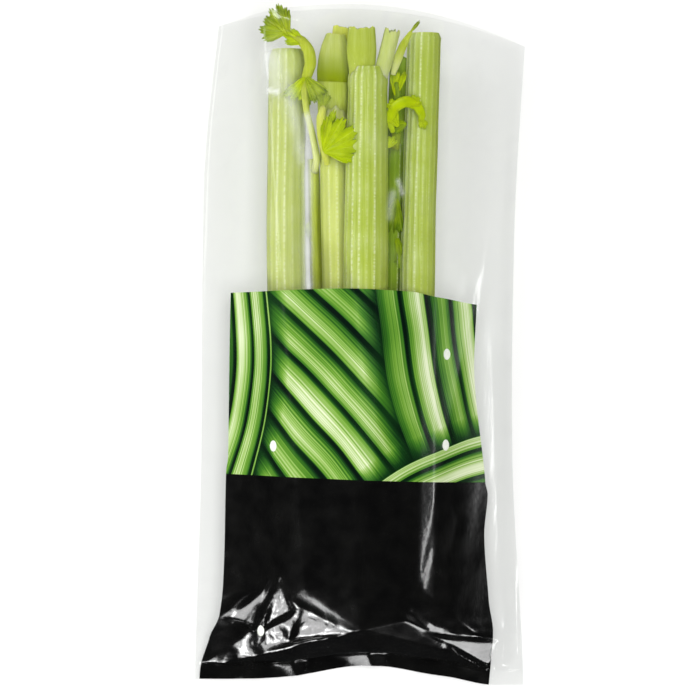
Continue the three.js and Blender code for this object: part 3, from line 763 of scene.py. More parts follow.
# The shoots' own stalks, as above, their stems as (skin, points), where a leaf skin makes it a leaf rolled
# up on itself, and their leaves as (skin, base, heading, length, form).
shoots = {
    "left_shoot": {
        "stalk": {
            "ribs": 4, "tipY": 104,
            "foot": (-11, 22.5, 9, 6, 180), "middle": (-24.2, 15.6, 8, 6.5, 105),
            "tip": (-26.6, 24, 6.2, 5.2, 96),
        },
        "skin": "shoot",
        "stems": [
            (
                "shoot",
                [
                    (-26, 96, 23, 2.0, 1), (-24.6, 104, 31, 1.9, 1), (-26.6, 116, 38, 1.8, 1),
                    (-30, 130, 41, 1.7, 1), (-31, 140, 42, 1.9, 1), (-30.2, 147.5, 42, 2.7, 1),
                    (-27.9, 155.5, 42, 3.2, 1), (-28.8, 162.6, 41.5, 3.2, 1), (-32.4, 168, 41, 2.7, 1),
                    (-37.5, 171.2, 40.5, 1.8, 1), (-43, 175.5, 40, 0.9, 1),
                ],
            ),
            (
                "petiole",
                [
                    (-18.6, 101, 37.5, 1.5, 1), (-19.6, 107, 43.2, 2.5, 1), (-21.2, 116, 46, 2.9, 1),
                    (-21.8, 126, 46, 2.6, 1), (-20.5, 133, 45.5, 1.2, 1),
                ],
            ),
        ],
        "leaves": [
            ("olive", (-41, 172.5, 40.2), (-0.66, 1, 0), 19.4, {"lobes": 3, "angle": 58, "narrow": 0.2}),
            ("olive", (-40, 171.5, 41.4), (-0.16, 1, 0), 17, {"lobes": 2, "angle": 38, "roll": 14}),
            ("olive", (-41, 173, 39.6), (-1, 0.1, 0), 16.4, {"lobes": 3, "angle": 76, "roll": -12}),
            ("bright", (-31, 167, 42.8), (-0.9, 0.42, 0.05), 15, {"lobes": 3, "angle": 70, "curl": 0.4}),
            ("bright", (-30.6, 148, 44.6), (-0.62, -1, -0.1), 19, {"lobes": 3, "angle": 56, "curl": 0.6}),
            ("olive", (-30, 148, 45), (0.72, -1, 0.05), 19.5, {"lobes": 3, "angle": 58, "curl": 0.4}),
            ("olive", (-30.6, 146, 43.8), (0.1, -1, -0.05), 18, {"lobes": 1, "angle": 24, "curl": 0.4}),
            ("bright", (-20.6, 107, 48), (0.96, 0.66, 0.4), 25, {"lobes": 5, "angle": 122, "narrow": 0.3}),
            ("bright", (-20.6, 110, 47.6), (0.3, 1, 0.16), 23, {"lobes": 3, "angle": 46, "curl": 0.3}),
            ("olive", (-20.8, 131, 46.6), (0.05, 1, -0.15), 12, {"lobes": 3, "angle": 76, "curl": 0.6}),
            ("olive", (-26, 71, 20), (-0.3, -1, 0.2), 13, {"lobes": 3, "angle": 70, "curl": 0.5}),
        ],
    },
    "heart_shoot": {
        "stalk": {
            "ribs": 5, "tipY": 112,
            "foot": (12.5, 36.5, 12, 7, 68), "middle": (16.2, 26.5, 11.4, 8.5, 84),
            "tip": (18.5, 29, 9, 7, 80),
        },
        "skin": "heart",
        "stems": [
            (
                "heart",
                [
                    (18.5, 108, 29.5, 3.1, 1), (19.6, 122, 33, 2.4, 1), (20, 138, 36, 2.0, 1),
                    (19.4, 146, 37, 1.4, 1),
                ],
            ),
            ("heart", [(20, 40, 22, 6.8, 0.4), (20.5, 100, 23, 6.8, 0.4), (21.6, 161, 25, 5.4, 0.4)]),
            (
                "shoot",
                [
                    (17.6, 150, 36, 1.4, 1), (20, 158, 37.6, 2.3, 0.6), (23.4, 166.5, 38, 2.1, 0.6),
                    (27.8, 174, 37.4, 0.9, 0.6),
                ],
            ),
            (
                "bright",
                [
                    (17.5, 118, 40, 1.2, 0.7), (15.9, 125, 42, 2.4, 0.6), (18.6, 131.6, 43, 2.9, 0.6),
                    (24.5, 134.8, 43.5, 3.1, 0.6), (30.4, 132.8, 42.8, 2.8, 0.6),
                    (33.4, 127.6, 41.6, 2.2, 0.6), (32.6, 122.8, 40, 1.1, 0.7),
                ],
            ),
        ],
        "leaves": [
            ("bright", (20.4, 121, 42.4), (-0.6, 0.9, 0.3), 13, {"lobes": 3, "angle": 70, "curl": 1.0}),
            ("bright", (19.6, 129.5, 44), (-0.5, 1, 0.1), 8, {"lobes": 3, "angle": 96, "curl": 0.6}),
            ("bright", (27.6, 132, 44.4), (0.5, 1, 0.1), 7.5, {"lobes": 4, "angle": 120, "curl": 0.6}),
            ("bright", (32.6, 125.5, 41.6), (0.5, -1, -0.1), 7.5, {"lobes": 3, "angle": 80, "curl": 0.6}),
            ("deep", (25, 122.8, 40), (-0.95, -0.2, 0.2), 12, {"lobes": 3, "angle": 84, "curl": 0.8}),
            ("bright", (15, 109.5, 42), (0.55, 1, 0.1), 9, {"lobes": 3, "angle": 72, "curl": 0.8}),
            ("bright", (19, 138.5, 37.6), (0.12, 1, 0.1), 16, {"lobes": 3, "angle": 54, "curl": 0.4}),
            ("deep", (19.5, 82, 33), (-0.15, -1, 0.05), 22, {"lobes": 3, "angle": 50, "curl": 0.3}),
            ("deep", (20, 60, 31), (0.1, -1, 0), 20, {"lobes": 3, "angle": 56, "curl": 0.3}),
            ("olive", (27.4, 173.4, 37.4), (0.8, 1, 0.1), 9, {"lobes": 1, "angle": 20, "curl": 0.2}),
        ],
    },
}
for name, shoot in shoots.items():
    pieces = [dress(sweepStalk(name + "_grown", shoot["stalk"]), skins[shoot["skin"]], fleshOfCut)]
    trimEnds(pieces[0])
    for k, (skin, points) in enumerate(shoot["stems"]):
        stem = sweepStem(
            f"{name}_stem_{k}", points, ribs=5, ribHeight=0.1, around=30, along=60, dome=1.5
        )
        pieces.append(dress(stem, skins.get(skin) or leafSkins[skin]))
    for k, (skin, base, heading, length, form) in enumerate(shoot["leaves"]):
        leaf = addLeaf(f"{name}_leaf_{k}", base, heading, length, seed=7 + k, **form)
        pieces.append(dress(leaf, leafSkins[skin]))
    built[name] = pieces
print("shoots and leaves grown")

# The crown: pale stem tissue with the scars of the outer stalks round it and the trimmed root plate below.
crownForm = {
    # y, half width and half thickness
    "rings": [
        (-157, 15, 10.5), (-155.5, 15.8, 11.2), (-150, 17.5, 12), (-143, 20.5, 13), (-137.4, 21, 13),
    ],
    "around": 96,
    "along": 24,
    "scarDepth": 0.7,
    "scarsFrom": -156,
    "scarsTo": -150,
}


def sweepCrown():
    rings = np.array(crownForm["rings"], float)
    foot, shoulder = headFoot["foot"], headFoot["shoulder"]

    def place(u, v):
        y = rings[0, 0] + (rings[-1, 0] - rings[0, 0]) * v
        wide, thick = (curveThrough(rings[:, 0], rings[:, k], y) for k in (1, 2))
        t = 2 * np.pi * u
        scarred = easeBetween(crownForm["scarsFrom"], crownForm["scarsTo"], y)
        scar = crownForm["scarDepth"] * np.abs(np.sin(3 * t + 0.3)) * scarred
        lift = easeBetween(headFoot["footY"], headFoot["shoulderY"], y)
        x = foot["x"] + (wide - scar) * np.cos(t)
        z = foot["z"] + (shoulder["z"] - foot["z"]) * lift + (thick - scar) * np.sin(t)
        return np.stack([x, y, z], 1)

    piece, u, _ = addSheet("crown_grown", crownForm["around"], crownForm["along"], place)
    addValues(piece, "rib", 0.4 * np.abs(np.sin(6 * np.pi * u)))
    addValues(piece, "paintedGlint", np.zeros(len(u)))
    return closeTube(piece)


crownSkin = stalkSkin("celery crown", "#e0dab2", "#cdc891", "#b4b06c", foot="#d9d1a4")
rootPlate = cutFlesh("celery root plate", "#d9c99a", "#94764a")
crownPiece = dress(sweepCrown(), crownSkin, rootPlate)
trimEnds(crownPiece, lip=0.8, sink=0.4)
built["crown"] = [crownPiece]
print("crown shaped")

plant = {}
for name, pieces in built.items():
    whole = joinPieces(name + "_piece", pieces)
    smoothShade(whole)
    plant[name] = settle(whole, name)
print("plant finished:", sum(len(p.data.polygons) for p in plant.values()), "faces")

# The film sleeve, in plan: where its folds, its print and its ends run, as (y, x) or (x, y) knots.
film = {
    "slack": 1.2,  # how far it stands off the celery
    "leftFold": [(-190, -92.5), (-181, -92.5), (-60, -89), (90, -87.5), (188.5, -78)],
    "printLeft": [
        (-190, -90.4), (-178, -89.4), (-162, -84.4), (-149, -78.7), (-130, -76.5), (-104, -75.6),
        (-70, -74.9), (-60, -73.7), (30, -72.2), (188.5, -64),
    ],
    "printRight": [
        (-190, 71.2), (-158, 73.4), (-140, 70.9), (-104, 68.4), (-82, 70.3), (-75, 69), (-15, 62.7),
        (23, 64), (188.5, 74),
    ],
    "rightFold": [(-190, 90.5), (-181, 90.5), (-60, 84.5), (60, 85.5), (188.5, 92.5)],
    "foldHeight": [(-190, 2.6), (-181, 2.6), (-120, 4), (60, 5), (188.5, 12)],
    "blackTop": [(-93, -69.4), (-75, -70.4), (69, -75), (93, -76)],
    "pictureTop": [(-93, 29.6), (-72.2, 30.1), (-11, 32), (26.7, 30.4), (43.1, 27.2), (64, 23.4), (93, 20)],
    "sealY": -181,
    "sealLength": 8,
    # the weld's lower edge rises in a bow and turns down on the right
    "bottom": {
        "drop": 4.1, "bow": 7.5, "bowAt": 4, "bowHalf": 34, "turn": 3.4, "turnFrom": 46, "turnTo": 74,
    },
    # the weld's height in the skin round the celery and by itself, its waves, its buckles and their pitch,
    # how far a lifted edge hangs and how far the lift leans to the right
    "weld": {"lies": 2.6, "middle": 3, "waves": 1.1, "buckles": 3, "pitch": 23, "hang": 2.8, "slant": 3},
    "weldReach": 14,  # over which the films part again above it
    "mouthY": 188.5,
    "mouthTop": -10,
    "mouthBow": 0.0021,
    "mouth": {"x": 4, "z": 24, "halfWide": 44, "halfThick": 17},
    "columns": (12, 136, 16),  # left strip, print, right strip
    "rows": (10, 128, 84, 96),  # weld, black print, picture, clear top
    "backColumns": 70,
    "wingSag": 3,
    "foldReach": 9,  # how far from a side fold the two films part
    "layer": 0.12,  # half the gap between them at the weld
    "lowest": 0.08,  # how far the back film stays off the table
    # long shallow buckles all over the front, by the share calm weaker on the picture
    "buckles": {"height": 0.5, "pitch": 17, "stretch": 3.2, "seed": 21, "rolls": 0.25},
    "calm": {"share": 0.6, "below": (-75, -60), "above": (20, 45)},
    # places where the film stands up by itself
    "peaks": [(-48.4, -129.8, 35.5), (0.5, -155, 54), (24, -150, 50)],
    # where the weld lifts off the table: start, highest place, end and height
    "lifts": [(-50, -38, -29, 6), (-16, 4, 16, 9), (45, 70, 84, 4)],
    # flat places between folds: corners, a point on it and its slopes to the right and to the mouth
    "facets": [
        {
            "corners": [(33, -157), (79, -162), (75, -184)],
            "on": (45, -164, 27.8), "slopes": (-0.52, 0.62),
        },
        {
            "corners": [(-48, -125), (-77, -151), (-58, -158)],
            "on": (-50, -133, 35.4), "slopes": (0.66, 0.38),
        },
        {
            "corners": [(-46, -123), (-56, -159), (-35, -146)],
            "on": (-46, -135, 37.6), "slopes": (0.64, 0.4),
        },
        {
            "corners": [(-33, -142.5), (-41, -164), (-2, -158)],
            "on": (-20, -155.6, 44), "slopes": (0.5, 0.58),
        },
    ],
    "facetEdge": 2.8,  # over which a facet runs into the film round it
    # painted glare on the film: milky strokes standing in for glints, a pale veil and light in a gap
    # between stalks; course, half width and strength
    "paintedGlare": [
        {"points": [(-49, 160), (-47, 144)], "width": 6, "share": 0.5},
        {"points": [(-41.8, 149.6), (-37, 127), (-31.9, 102.9)], "width": 3.4, "share": 0.34},
        {"points": [(-50.4, 141.2), (-46, 140.2)], "width": 1.8, "share": 0.9},
        {"points": [(-29.6, 126), (-29.4, 100), (-29.2, 33)], "width": 2.4, "share": 0.5},
        {"points": [(20.2, 91), (21.6, 87.4), (22.6, 84)], "width": 1.2, "share": 0.42},
        {"points": [(17.6, 84), (16.2, 77.6), (15.6, 71)], "width": 1.9, "share": 0.28},
    ],
    "vents": [(-48.5, -54.5), (46.8, -54), (47.5, -4), (-55.5, -157)],
    "ventForm": {"halfX": 2.0, "halfY": 3.2, "lip": 0.12, "sink": 0.35, "finer": 8},
    # crumpled places: three corners, pitch and height of the creases
    "crumpled": [
        {"corners": [(-49, -128), (3, -156), (-94, -190)], "pitch": 19, "height": 2.4, "seed": 3},
        {"corners": [(-49, -128), (3, -156), (-94, -190)], "pitch": 8, "height": 0.8, "seed": 8},
        {"corners": [(27, -146), (84, -152), (76, -200)], "pitch": 19, "height": 3.4, "seed": 5},
        {"corners": [(-60, -168), (60, -164), (10, -196)], "pitch": 8, "height": 1.2, "seed": 11},
    ],
    "crumpledEdge": 9,  # over which the creases fade out
    "crushEdge": 6,  # and the small dents of the first place
    # folds that run out from one point: place, first and last angle, count, reach and height
    "fans": [{"from": (-48.4, -129.8), "angles": (-165, -30), "count": 4, "reach": 52, "height": 1.9}],
    # single folds: their course, height and half width; steep is the half width on the left of the course
    "folds": [
        {"points": [(40.7, -92), (37.5, -112), (28, -146)], "height": -0.9, "width": 12, "steep": 5},
        {"points": [(50.6, -88), (53.9, -96), (50, -111)], "height": 1.0, "width": 1.4},
        {"points": [(27.5, -146), (44.6, -162), (55.5, -182)], "height": -1.6, "width": 2.2},
        {"points": [(0.5, -156.2), (-25, -165), (-60, -172)], "height": 1.2, "width": 3},
        {"points": [(-53, 141), (-43, 139.6)], "height": 1.9, "width": 3},
        {"points": [(-42, 150), (-36, 122), (-31, 100)], "height": 1.1, "width": 2.4},
        {"points": [(14, 88), (20, 76), (18, 62)], "height": 0.7, "width": 1.6},
        {"points": [(60, 120), (72, 70), (66, 20)], "height": 0.8, "width": 5},
        {"points": [(-66, 120), (-72, 90), (-66, 50)], "height": 0.8, "width": 5},
    ],
}


def knotsAt(name, at):
    knots = np.array(film[name], float)
    return curveThrough(knots[:, 0], knots[:, 1], at)


def bottomEdge(x):
    edge = film["bottom"]
    bow = edge["bow"] * np.exp(-(((x - edge["bowAt"]) / edge["bowHalf"]) ** 2))
    drop = edge["drop"] - bow + edge["turn"] * easeBetween(edge["turnFrom"], edge["turnTo"], x)
    return film["sealY"] - drop


def mouthEdge(x):
    return film["mouthY"] - film["mouthBow"] * (x - film["mouthTop"]) ** 2


# the plan place of (u, v), with u and v running evenly through the strips and rows counted above; a plain
# rectangle is the first guess, and each round brings x and y nearer to the edges
def planPlace(u, v):
    x, y = 180 * u - 90, 370 * v - 185
    columnEnds = np.cumsum((0,) + film["columns"]) / sum(film["columns"])
    rowEnds = np.cumsum((0,) + film["rows"]) / sum(film["rows"])
    for _ in range(6):
        folds = [knotsAt(name, y) for name in ("leftFold", "printLeft", "printRight", "rightFold")]
        k = np.clip(np.searchsorted(columnEnds, u + 1e-9) - 1, 0, 2)
        share = (u - columnEnds[k]) / (columnEnds[k + 1] - columnEnds[k])
        low, high = np.choose(k, folds[:3]), np.choose(k, folds[1:])
        x = low + (high - low) * share
        seal = bottomEdge(x)
        ends = [seal, seal + film["sealLength"]]
        ends += [knotsAt("blackTop", x), knotsAt("pictureTop", x), mouthEdge(x)]
        k = np.clip(np.searchsorted(rowEnds, v + 1e-9) - 1, 0, 3)
        share = (v - rowEnds[k]) / (rowEnds[k + 1] - rowEnds[k])
        low, high = np.choose(k, ends[:4]), np.choose(k, ends[1:])
        y = low + (high - low) * share
    return x, y


# The tightest skin round the celery, the folds, the weld and the mouth. The film hangs from it.
def wrapPoints():
    points = []
    steps = 60  # along each fold, the weld and the mouth
    for piece in plant.values():
        stand = pointRows(piece) / mm + pointRows(piece, "normal") * film["slack"]
        points.append(stand[::3])
    y = np.linspace(film["sealY"], film["mouthY"] - 1.5, steps)
    for fold in ("leftFold", "rightFold"):
        points.append(np.stack([knotsAt(fold, y), y, knotsAt("foldHeight", y)], 1))
    x = np.linspace(-92, 90, steps)
    weld = np.full(steps, film["weld"]["lies"])
    points.append(np.stack([x, bottomEdge(x) + film["sealLength"], weld], 1))
    t = np.linspace(0, 2 * np.pi, steps)
    mouth = film["mouth"]
    rim = mouth["x"] + mouth["halfWide"] * np.cos(t)
    points.append(np.stack([rim, mouthEdge(rim), mouth["z"] + mouth["halfThick"] * np.sin(t)], 1))
    points.append(np.array(film["peaks"], float))
    return np.concatenate(points)


def wrapTree():
    mesh = bpy.data.meshes.new("wrap")
    mesh.from_pydata((wrapPoints() * mm).tolist(), [], [])
    wrap = bpy.data.objects.new("wrap", mesh)
    bpy.context.collection.objects.link(wrap)
    pick(wrap)
    bpy.ops.object.mode_set(mode="EDIT")
    bpy.ops.mesh.select_all(action="SELECT")
    bpy.ops.mesh.convex_hull()
    bpy.ops.object.mode_set(mode="OBJECT")
    tree = BVHTree.FromObject(wrap, bpy.context.evaluated_depsgraph_get())
    bpy.data.objects.remove(wrap)
    bpy.data.meshes.remove(mesh)
    return tree


wrap = wrapTree()


# the height of that skin from above or from below; beside it there is none, which is nan
def wrapHeight(x, y, fromAbove):
    start = 1.0 if fromAbove else -1.0
    heights = np.full(len(x), np.nan)
    inside = np.minimum(y, mouthEdge(x) - 0.4)  # the skin ends at the mouth
    for i, (px, py) in enumerate(zip(x * mm, inside * mm)):
        hit = wrap.ray_cast(Vector((px, py, start)), Vector((0, 0, -start)))[0]
        if hit:
            heights[i] = hit.z / mm
    return heights


# how far the celery reaches to each side at a height y: taken every 5 mm from 16 mm to each side, and eased
def reachAt(y):
    spots = np.concatenate([pointRows(piece) / mm for piece in plant.values()])
    steps = np.linspace(-190, 190, 77)
    sides = np.full((2, len(steps)), 5.0)
    for i, step in enumerate(steps):
        near = spots[np.abs(spots[:, 1] - step) < 16, 0]
        if len(near):
            sides[:, i] = near.min(), near.max()
    ease = np.ones(5) / 5
    eased = [np.convolve(np.pad(side, 2, mode="edge"), ease, mode="valid") for side in sides]
    return [np.interp(y, steps, side) for side in eased]


# flat facets with sharp creases between them, from zigzags in four directions; about -0.5 to 0.5
def crumple(x, y, pitch, seed):
    dice = np.random.default_rng(seed)
    directions = 4
    total = 0
    for _ in range(directions):
        heading, bend = dice.uniform(0, np.pi), dice.uniform(0, fullTurn, 2)
        size = pitch * dice.uniform(0.7, 1.6)
        c, s = math.cos(heading), math.sin(heading)
        along = (c * x + s * y) / size
        along = along + 0.35 * np.sin((s * x - c * y) / (1.7 * size) + bend[0])
        along = along + 0.2 * np.sin(x / size + bend[1])
        total = total + zigzag(along)
    return total / directions - 0.5


# the weld lies in waves, and where it lifts its free edge hangs
def weldHeight(x, y):
    weld = film["weld"]
    down = 1 - np.clip((y - bottomEdge(x)) / film["sealLength"], 0, 1)
    rise = 0
    for start, peak, end, lift in film["lifts"]:
        rise = rise + np.interp(x - weld["slant"] * down, [start, peak, end], [0, lift, 0])
    waves = weld["middle"] + weld["waves"] * np.sin(9 * np.clip((x + 92) / 182, 0, 1) + 0.6)
    buckles = weld["buckles"] * crumple(x, y / 1.2, weld["pitch"], 4) * (1 - 0.85 * np.clip(rise, 0, 1))
    return waves + buckles + rise - np.minimum(rise, weld["hang"]) * down


# brings both films together at the side folds and at the weld, where each lies a layer off the middle
def closeIn(height, x, y, layer):
    folded = knotsAt("foldHeight", y)
    inset = np.minimum(x - knotsAt("leftFold", y), knotsAt("rightFold", y) - x)
    part = 1 - (1 - np.clip(inset / film["foldReach"], 0, 1)) ** 1.5
    height = folded + (np.where(np.isnan(height), folded, height) - folded) * part
    seal = bottomEdge(x) + film["sealLength"]
    weld = weldHeight(x, y)
    toWeld = 1 - easeBetween(seal, seal + film["weldReach"], y)
    height = height + (weld - film["weld"]["lies"]) * toWeld
    welded = weld + layer * np.clip((y - bottomEdge(x)) / 2, 0, 1) * np.clip(inset / 2, 0, 1)
    return np.where(y <= seal, welded, height)


# 1 well inside a triangle and 0 outside it, with edge as the width between
def insideTriangle(x, y, corners, edge):
    away = np.full(np.shape(x), 1e9)
    for k in range(3):
        (ax, ay), (bx, by), (cx, cy) = corners[k], corners[(k + 1) % 3], corners[(k + 2) % 3]
        normal = np.array([by - ay, ax - bx]) / math.hypot(bx - ax, by - ay)
        side = (x - ax) * normal[0] + (y - ay) * normal[1]
        away = np.minimum(away, side * np.sign((cx - ax) * normal[0] + (cy - ay) * normal[1]))
    return easeBetween(0, edge, away)


# distance to a line, the side of it as 1 (on the left of its course) or -1, and how far along it, 0 to 1
def distanceToLine(x, y, points):
    nearest, side, share = np.full(np.shape(x), 1e9), np.ones(np.shape(x)), np.zeros(np.shape(x))
    for k, ((ax, ay), (bx, by)) in enumerate(zip(points[:-1], points[1:])):
        run = (bx - ax) ** 2 + (by - ay) ** 2
        t = np.clip(((x - ax) * (bx - ax) + (y - ay) * (by - ay)) / run, 0, 1)
        away = np.hypot(x - ax - t * (bx - ax), y - ay - t * (by - ay))
        turn = (bx - ax) * (y - ay) - (by - ay) * (x - ax)
        side = np.where(away < nearest, np.where(turn >= 0, 1, -1), side)
        share = np.where(away < nearest, (k + t) / (len(points) - 1), share)
        nearest = np.minimum(nearest, away)
    return nearest, side, share


def fanFolds(x, y, fan):
    fromX, fromY = fan["from"]
    low, high = fan["angles"]
    away = np.hypot(x - fromX, y - fromY)
    around = (np.degrees(np.arctan2(y - fromY, x - fromX)) - low) / (high - low)
    ridge = zigzag(fan["count"] * (around + 0.05 * np.sin(away / 7)) + 0.3 * np.sin(5 * around))
    size = np.clip(away / 14, 0, 1) * (1 - easeBetween(0.55, 1, away / fan["reach"]))
    edge = easeBetween(0, 0.08, around) * (1 - easeBetween(0.92, 1, around))
    return fan["height"] * (ridge - 0.5) * size * edge


def singleFold(x, y, fold):
    away, side, along = distanceToLine(x, y, fold["points"])
    if "steep" not in fold:
        return fold["height"] * np.exp(-np.hypot(away, 0.9) / fold["width"])
    share = np.clip(1 - away / np.where(side > 0, fold["steep"], fold["width"]), 0, 1) ** 2
    return fold["height"] * (share * np.interp(along, [0, 0.85, 1], [0, 1, 0.3]))


# the relief of the front film
def wrinkles(x, y):
    buckles, calm = film["buckles"], film["calm"]
    creased = crumple(x, y / buckles["stretch"], buckles["pitch"], buckles["seed"]) + 0.5
    rolling = np.sin(x / 9 + 0.8 * np.sin(y / 31))
    calmer = calm["share"] * easeBetween(*calm["below"], y) * (1 - easeBetween(*calm["above"], y))
    total = (buckles["height"] * creased + buckles["rolls"] * rolling) * (1 - calmer)
    for place in film["crumpled"]:
        share = insideTriangle(x, y, place["corners"], film["crumpledEdge"])
        total = total + share * place["height"] * (crumple(x, y, place["pitch"], place["seed"]) + 0.2)
    for fan in film["fans"]:
        total = total + fanFolds(x, y, fan)
    for fold in film["folds"]:
        total = total + singleFold(x, y, fold)
    return total


def backHeight(x, y):
    return closeIn(np.maximum(wrapHeight(x, y, False), film["lowest"]), x, y, -film["layer"])


def frontHeight(x, y):
    height, back = wrapHeight(x, y, True), backHeight(x, y)
    left, right = reachAt(y)
    toLeft = (x - left) / (knotsAt("leftFold", y) - left)
    toRight = (x - right) / (knotsAt("rightFold", y) - right)
    wing = np.clip(np.where(x < left, toLeft, np.where(x > right, toRight, 0)), 0, 1)
    room = np.maximum(height - back, 0)
    height = height - 4 * wing * (1 - wing) * np.minimum(film["wingSag"], 0.45 * room)
    height = height + wrinkles(x, y) * np.clip(room / 6, 0.15, 1)
    height = closeIn(height, x, y, film["layer"])
    for facet in film["facets"]:
        share = insideTriangle(x, y, facet["corners"], film["facetEdge"])
        onX, onY, onZ = facet["on"]
        plane = onZ + facet["slopes"][0] * (x - onX) + facet["slopes"][1] * (y - onY)
        height = np.where(share > 0, height + (plane - height) * share, height)
    return np.maximum(height, back)


# the numbers of a sheet's points, row by row
def gridOrder(u, v):
    return np.lexsort((u, v)).reshape(-1, len(np.unique(u)))


# takes the sharpest edges off the heights in two rounds, as the film's own stiffness does
def easeHeights(height, u, v):
    order = gridOrder(u, v)
    grid = height[order]
    for _ in range(2):
        beside = grid[:-2, 1:-1] + grid[2:, 1:-1] + grid[1:-1, :-2] + grid[1:-1, 2:]
        grid[1:-1, 1:-1] = 0.5 * grid[1:-1, 1:-1] + 0.125 * beside
    height[order] = grid
    return height


def addFilm(name, columns, heightOf):
    def place(u, v):
        x, y = planPlace(u, v)
        return np.stack([x, y, easeHeights(heightOf(x, y), u, v)], 1)

    return addSheet(name, columns, sum(film["rows"]), place)


front, frontU, frontV = addFilm("sleeve_front", sum(film["columns"]), frontHeight)
back = addFilm("sleeve_back", film["backColumns"], backHeight)[0]
pick(back)
bpy.ops.object.mode_set(mode="EDIT")
bpy.ops.mesh.select_all(action="SELECT")
bpy.ops.mesh.flip_normals()
bpy.ops.object.mode_set(mode="OBJECT")
print("both films laid")


# where each point of the print lies when the sleeve is flat, in mm from its middle line
def flatPlaces(sheet, u, v):
    spots = pointRows(sheet) / mm
    order = gridOrder(u, v)
    rows = spots[order]
    steps = np.hypot(np.diff(rows[..., 0], axis=1), np.diff(rows[..., 2], axis=1))
    run = np.concatenate([np.zeros((len(rows), 1)), np.cumsum(steps, axis=1)], 1)
    flat = np.zeros_like(spots)
    flat[order.ravel(), 0] = (run - run[:, -1:] / 2).ravel()
    flat[:, 1] = spots[:, 1]
    return flat


printPlace = front.data.attributes.new("printPlace", "FLOAT_VECTOR", "POINT")
printPlace.data.foreach_set("vector", flatPlaces(front, frontU, frontV).ravel())

# the front film's materials in the order of its slots; the underlay shows in the vents, its white partly
# painted light for what is lit beneath them
frontSlots = ("clear", "picture", "black", "underlay")


def paintFront():
    columnEnds = np.cumsum(film["columns"]) / sum(film["columns"])
    rowEnds = np.cumsum(film["rows"]) / sum(film["rows"])
    for face in front.data.polygons:
        u, v = (np.mean([side[i] for i in face.vertices]) for side in (frontU, frontV))
        printed = columnEnds[0] < u < columnEnds[1]
        if printed and v < rowEnds[1]:
            face.material_index = frontSlots.index("black")
        elif printed and v < rowEnds[2]:
            face.material_index = frontSlots.index("picture")


def pressVents():
    form = film["ventForm"]
    pick(front)
    bpy.ops.object.mode_set(mode="EDIT")
    grid = bmesh.from_edit_mesh(front.data)
    for ventX, ventY in film["vents"]:
        spot = Vector((ventX, ventY)) * mm
        around = [f for f in grid.faces if (f.calc_center_median().xy - spot).length < form["finer"] * mm]
        edges = list({e for f in around for e in f.edges})
        bmesh.ops.subdivide_edges(grid, edges=edges, cuts=2, use_grid_fill=True)

        def share(point):
            across = (point.x - spot.x) / (form["halfX"] * mm)
            along = (point.y - spot.y) / (form["halfY"] * mm)
            return math.hypot(across, along)

        inside = [f for f in grid.faces if share(f.calc_center_median()) < 1]
        rim = {v for f in inside for v in f.verts if any(near not in inside for near in v.link_faces)}
        for vertex in rim:
            vertex.co.xy = spot + (vertex.co.xy - spot) / share(vertex.co)
        bmesh.ops.inset_region(grid, faces=inside, thickness=form["lip"] * mm, depth=-form["sink"] * mm)
        for face in inside:
            face.material_index = frontSlots.index("underlay")
    bmesh.update_edit_mesh(front.data)
    bpy.ops.object.mode_set(mode="OBJECT")


# paints the glare strokes into the front film as painted highlight and painted light, and marks the crushed
# corner
def paintGlareOnFront():
    x, y = planPlace(frontU, frontV)
    hazeAndPaintedGlare = np.zeros(len(x))
    for glareStroke in film["paintedGlare"]:
        away = distanceToLine(x, y, glareStroke["points"])[0]
        hazeAndPaintedGlare = np.maximum(hazeAndPaintedGlare, glareStroke["share"] * np.exp(-((away / glareStroke["width"]) ** 2)))
    addValues(front, "hazeAndPaintedGlare", hazeAndPaintedGlare)
    addValues(front, "crush", insideTriangle(x, y, film["crumpled"][0]["corners"], film["crushEdge"]))


paintGlareOnFront()
paintFront()
pressVents()
print("print laid out and vents pressed")
